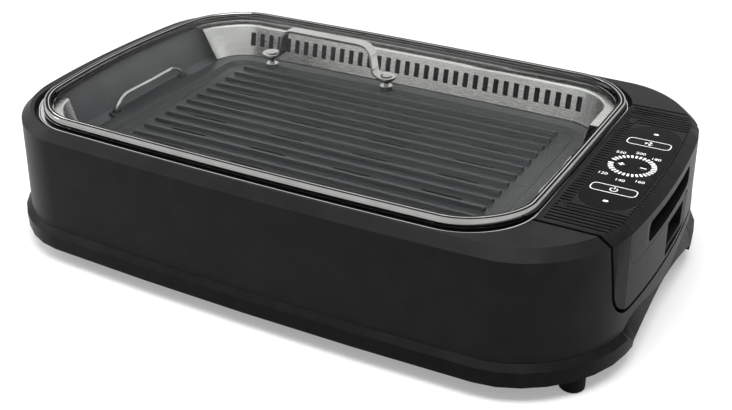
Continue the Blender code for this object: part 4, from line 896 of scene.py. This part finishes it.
def band(bm, outside, inside, closed=True):
    """A flat band of ink between two rows of points on a long key."""
    pair = [[bm.verts.new((x * mm, y * mm, key_top * mm)) for x, y in row] for row in (outside, inside)]
    count = len(outside)
    faces = []
    for step in range(count if closed else count - 1):
        after = (step + 1) % count
        faces.append(bm.faces.new((pair[0][step], pair[0][after], pair[1][after], pair[1][step])))
    grown = bmesh.ops.extrude_face_region(bm, geom=faces)["geom"]
    bmesh.ops.translate(bm, vec=(0, 0, ink * mm), verts=verts_of(grown))


def bar(bm, x, y, length, width, level):
    """A flat bar of ink."""
    add_box(bm, (x, y, level + ink / 2), (length, width, ink))


def inked(name, bm, body):
    """Files print as a piece of its own that rides on a body."""
    bmesh.ops.recalc_face_normals(bm, faces=bm.faces)
    place_piece(name, mesh_of(bm, name), print_white, body, [])


for name, body, y in (("fan_print", "fan_button", 43.2), ("power_print", "power_button", -44.4)):
    bm = bmesh.new()
    middle = (dial_x, y)
    band(bm, frame_loop(middle, 34.6, 12.1, 4.3), frame_loop(middle, 33.2, 10.7, 3.6))
    if body == "power_button":
        band(bm, arc(middle, 3.1, 125, 415), arc(middle, 2.3, 125, 415), closed=False)
        bar(bm, dial_x, y + 2.4, 0.8, 3.2, key_top)
    else:
        for turn in (0, 120, 240):
            band(bm, blade_edge(middle, turn, 50), blade_edge(middle, turn + 34, 74), closed=False)
    inked(name, bm, body)
for name, body, x in (("plus_print", "plus_button", plus_x), ("minus_print", "minus_button", minus_x)):
    bm = bmesh.new()
    bar(bm, x, 0, 5.2, 1.1, 117.06)
    if body == "plus_button":
        bar(bm, x, 0, 1.1, 5.2, 117.07)
    inked(name, bm, body)
print("signs made")

# %% [markdown]
# ## Numbers
# Blender's own font is plain, so the numbers are text objects. Each is made a mesh first and then
# moved to its place, so that the finished piece sits at the origin.

# %% Dial numbers
bm = bmesh.new()
places = {"120": (221.2, -21.7), "140": (235.9, -27.3), "160": (249.6, -23.4),
          "180": (249.6, 18.8), "200": (236.6, 23.4), "220": (222.4, 18.7)}
for number, (x, y) in places.items():
    text = bpy.data.curves.new("number", "FONT")
    text.body, text.size, text.extrude = number, 5.2 * mm, ink / 2 * mm
    text.align_x, text.align_y = "CENTER", "CENTER"
    item = bpy.data.objects.new("number", text)
    bpy.context.scene.collection.objects.link(item)
    bpy.context.view_layer.update()
    made = bpy.data.meshes.new_from_object(item.evaluated_get(bpy.context.evaluated_depsgraph_get()))
    made.transform(Matrix.Translation((x * mm, y * mm, (deck + ink / 2) * mm)))
    bm.from_mesh(made)
    bpy.data.objects.remove(item)
bmesh.ops.remove_doubles(bm, verts=bm.verts, dist=0.002 * mm)
inked("dial_numbers", bm, "control_unit")
print("numbers", len(places))

# %% [markdown]
# ## Dial ticks
# The dial's ticks are windows in a smoked ring, lit from behind. They are a mask on the ring's
# face and not cut: the angle round the dial, divided in 32, with the one at the start left dark.

# %% Ticks
tick_count = 32
tick_lens, tree, shader = finish("dial_window", Roughness=0.12, IOR=1.49, Specular_IOR_Level=0.03,
                                 Emission_Color=linear("#f4f4f2"))
where = add(tree, "ShaderNodeTexCoord")
local = add(tree, "ShaderNodeMapping", [("Vector", where.outputs["Object"])], Location=(-dial_x * mm, 0, 0))
angle = add(tree, "ShaderNodeTexGradient", [("Vector", local.outputs["Vector"])], gradient_type="RADIAL")
turns = add(tree, "ShaderNodeMath", [(0, angle.outputs["Fac"]), (1, tick_count)], operation="MULTIPLY")
part = add(tree, "ShaderNodeMath", [(0, turns.outputs[0])], operation="FRACT")
away = add(tree, "ShaderNodeMath", [(0, part.outputs[0]), (1, 0.5)], operation="SUBTRACT")
far = add(tree, "ShaderNodeMath", [(0, away.outputs[0])], operation="ABSOLUTE")
mark = add(tree, "ShaderNodeMath", [(0, far.outputs[0]), (1, 0.26)], operation="LESS_THAN")
live = add(tree, "ShaderNodeMath", [(0, turns.outputs[0]), (1, tick_count - 1)], operation="LESS_THAN")
shown = add(tree, "ShaderNodeMath", [(0, mark.outputs[0]), (1, live.outputs[0])], operation="MULTIPLY")
colours = add(tree, "ShaderNodeValToRGB", [("Fac", shown.outputs[0])])
off, on = colours.color_ramp.elements
off.color, on.color = linear("#0a0a0b"), linear("#f2f2f0")
tree.links.new(colours.outputs["Color"], shader.inputs["Base Color"])
lamp = add(tree, "ShaderNodeMath", [(0, shown.outputs[0]), (1, ink_glow)], operation="MULTIPLY")
tree.links.new(lamp.outputs[0], shader.inputs["Emission Strength"])
dress("tick_light_ring", merged("tick_light_ring"), tick_lens)
print("ticks", tick_count - 1)
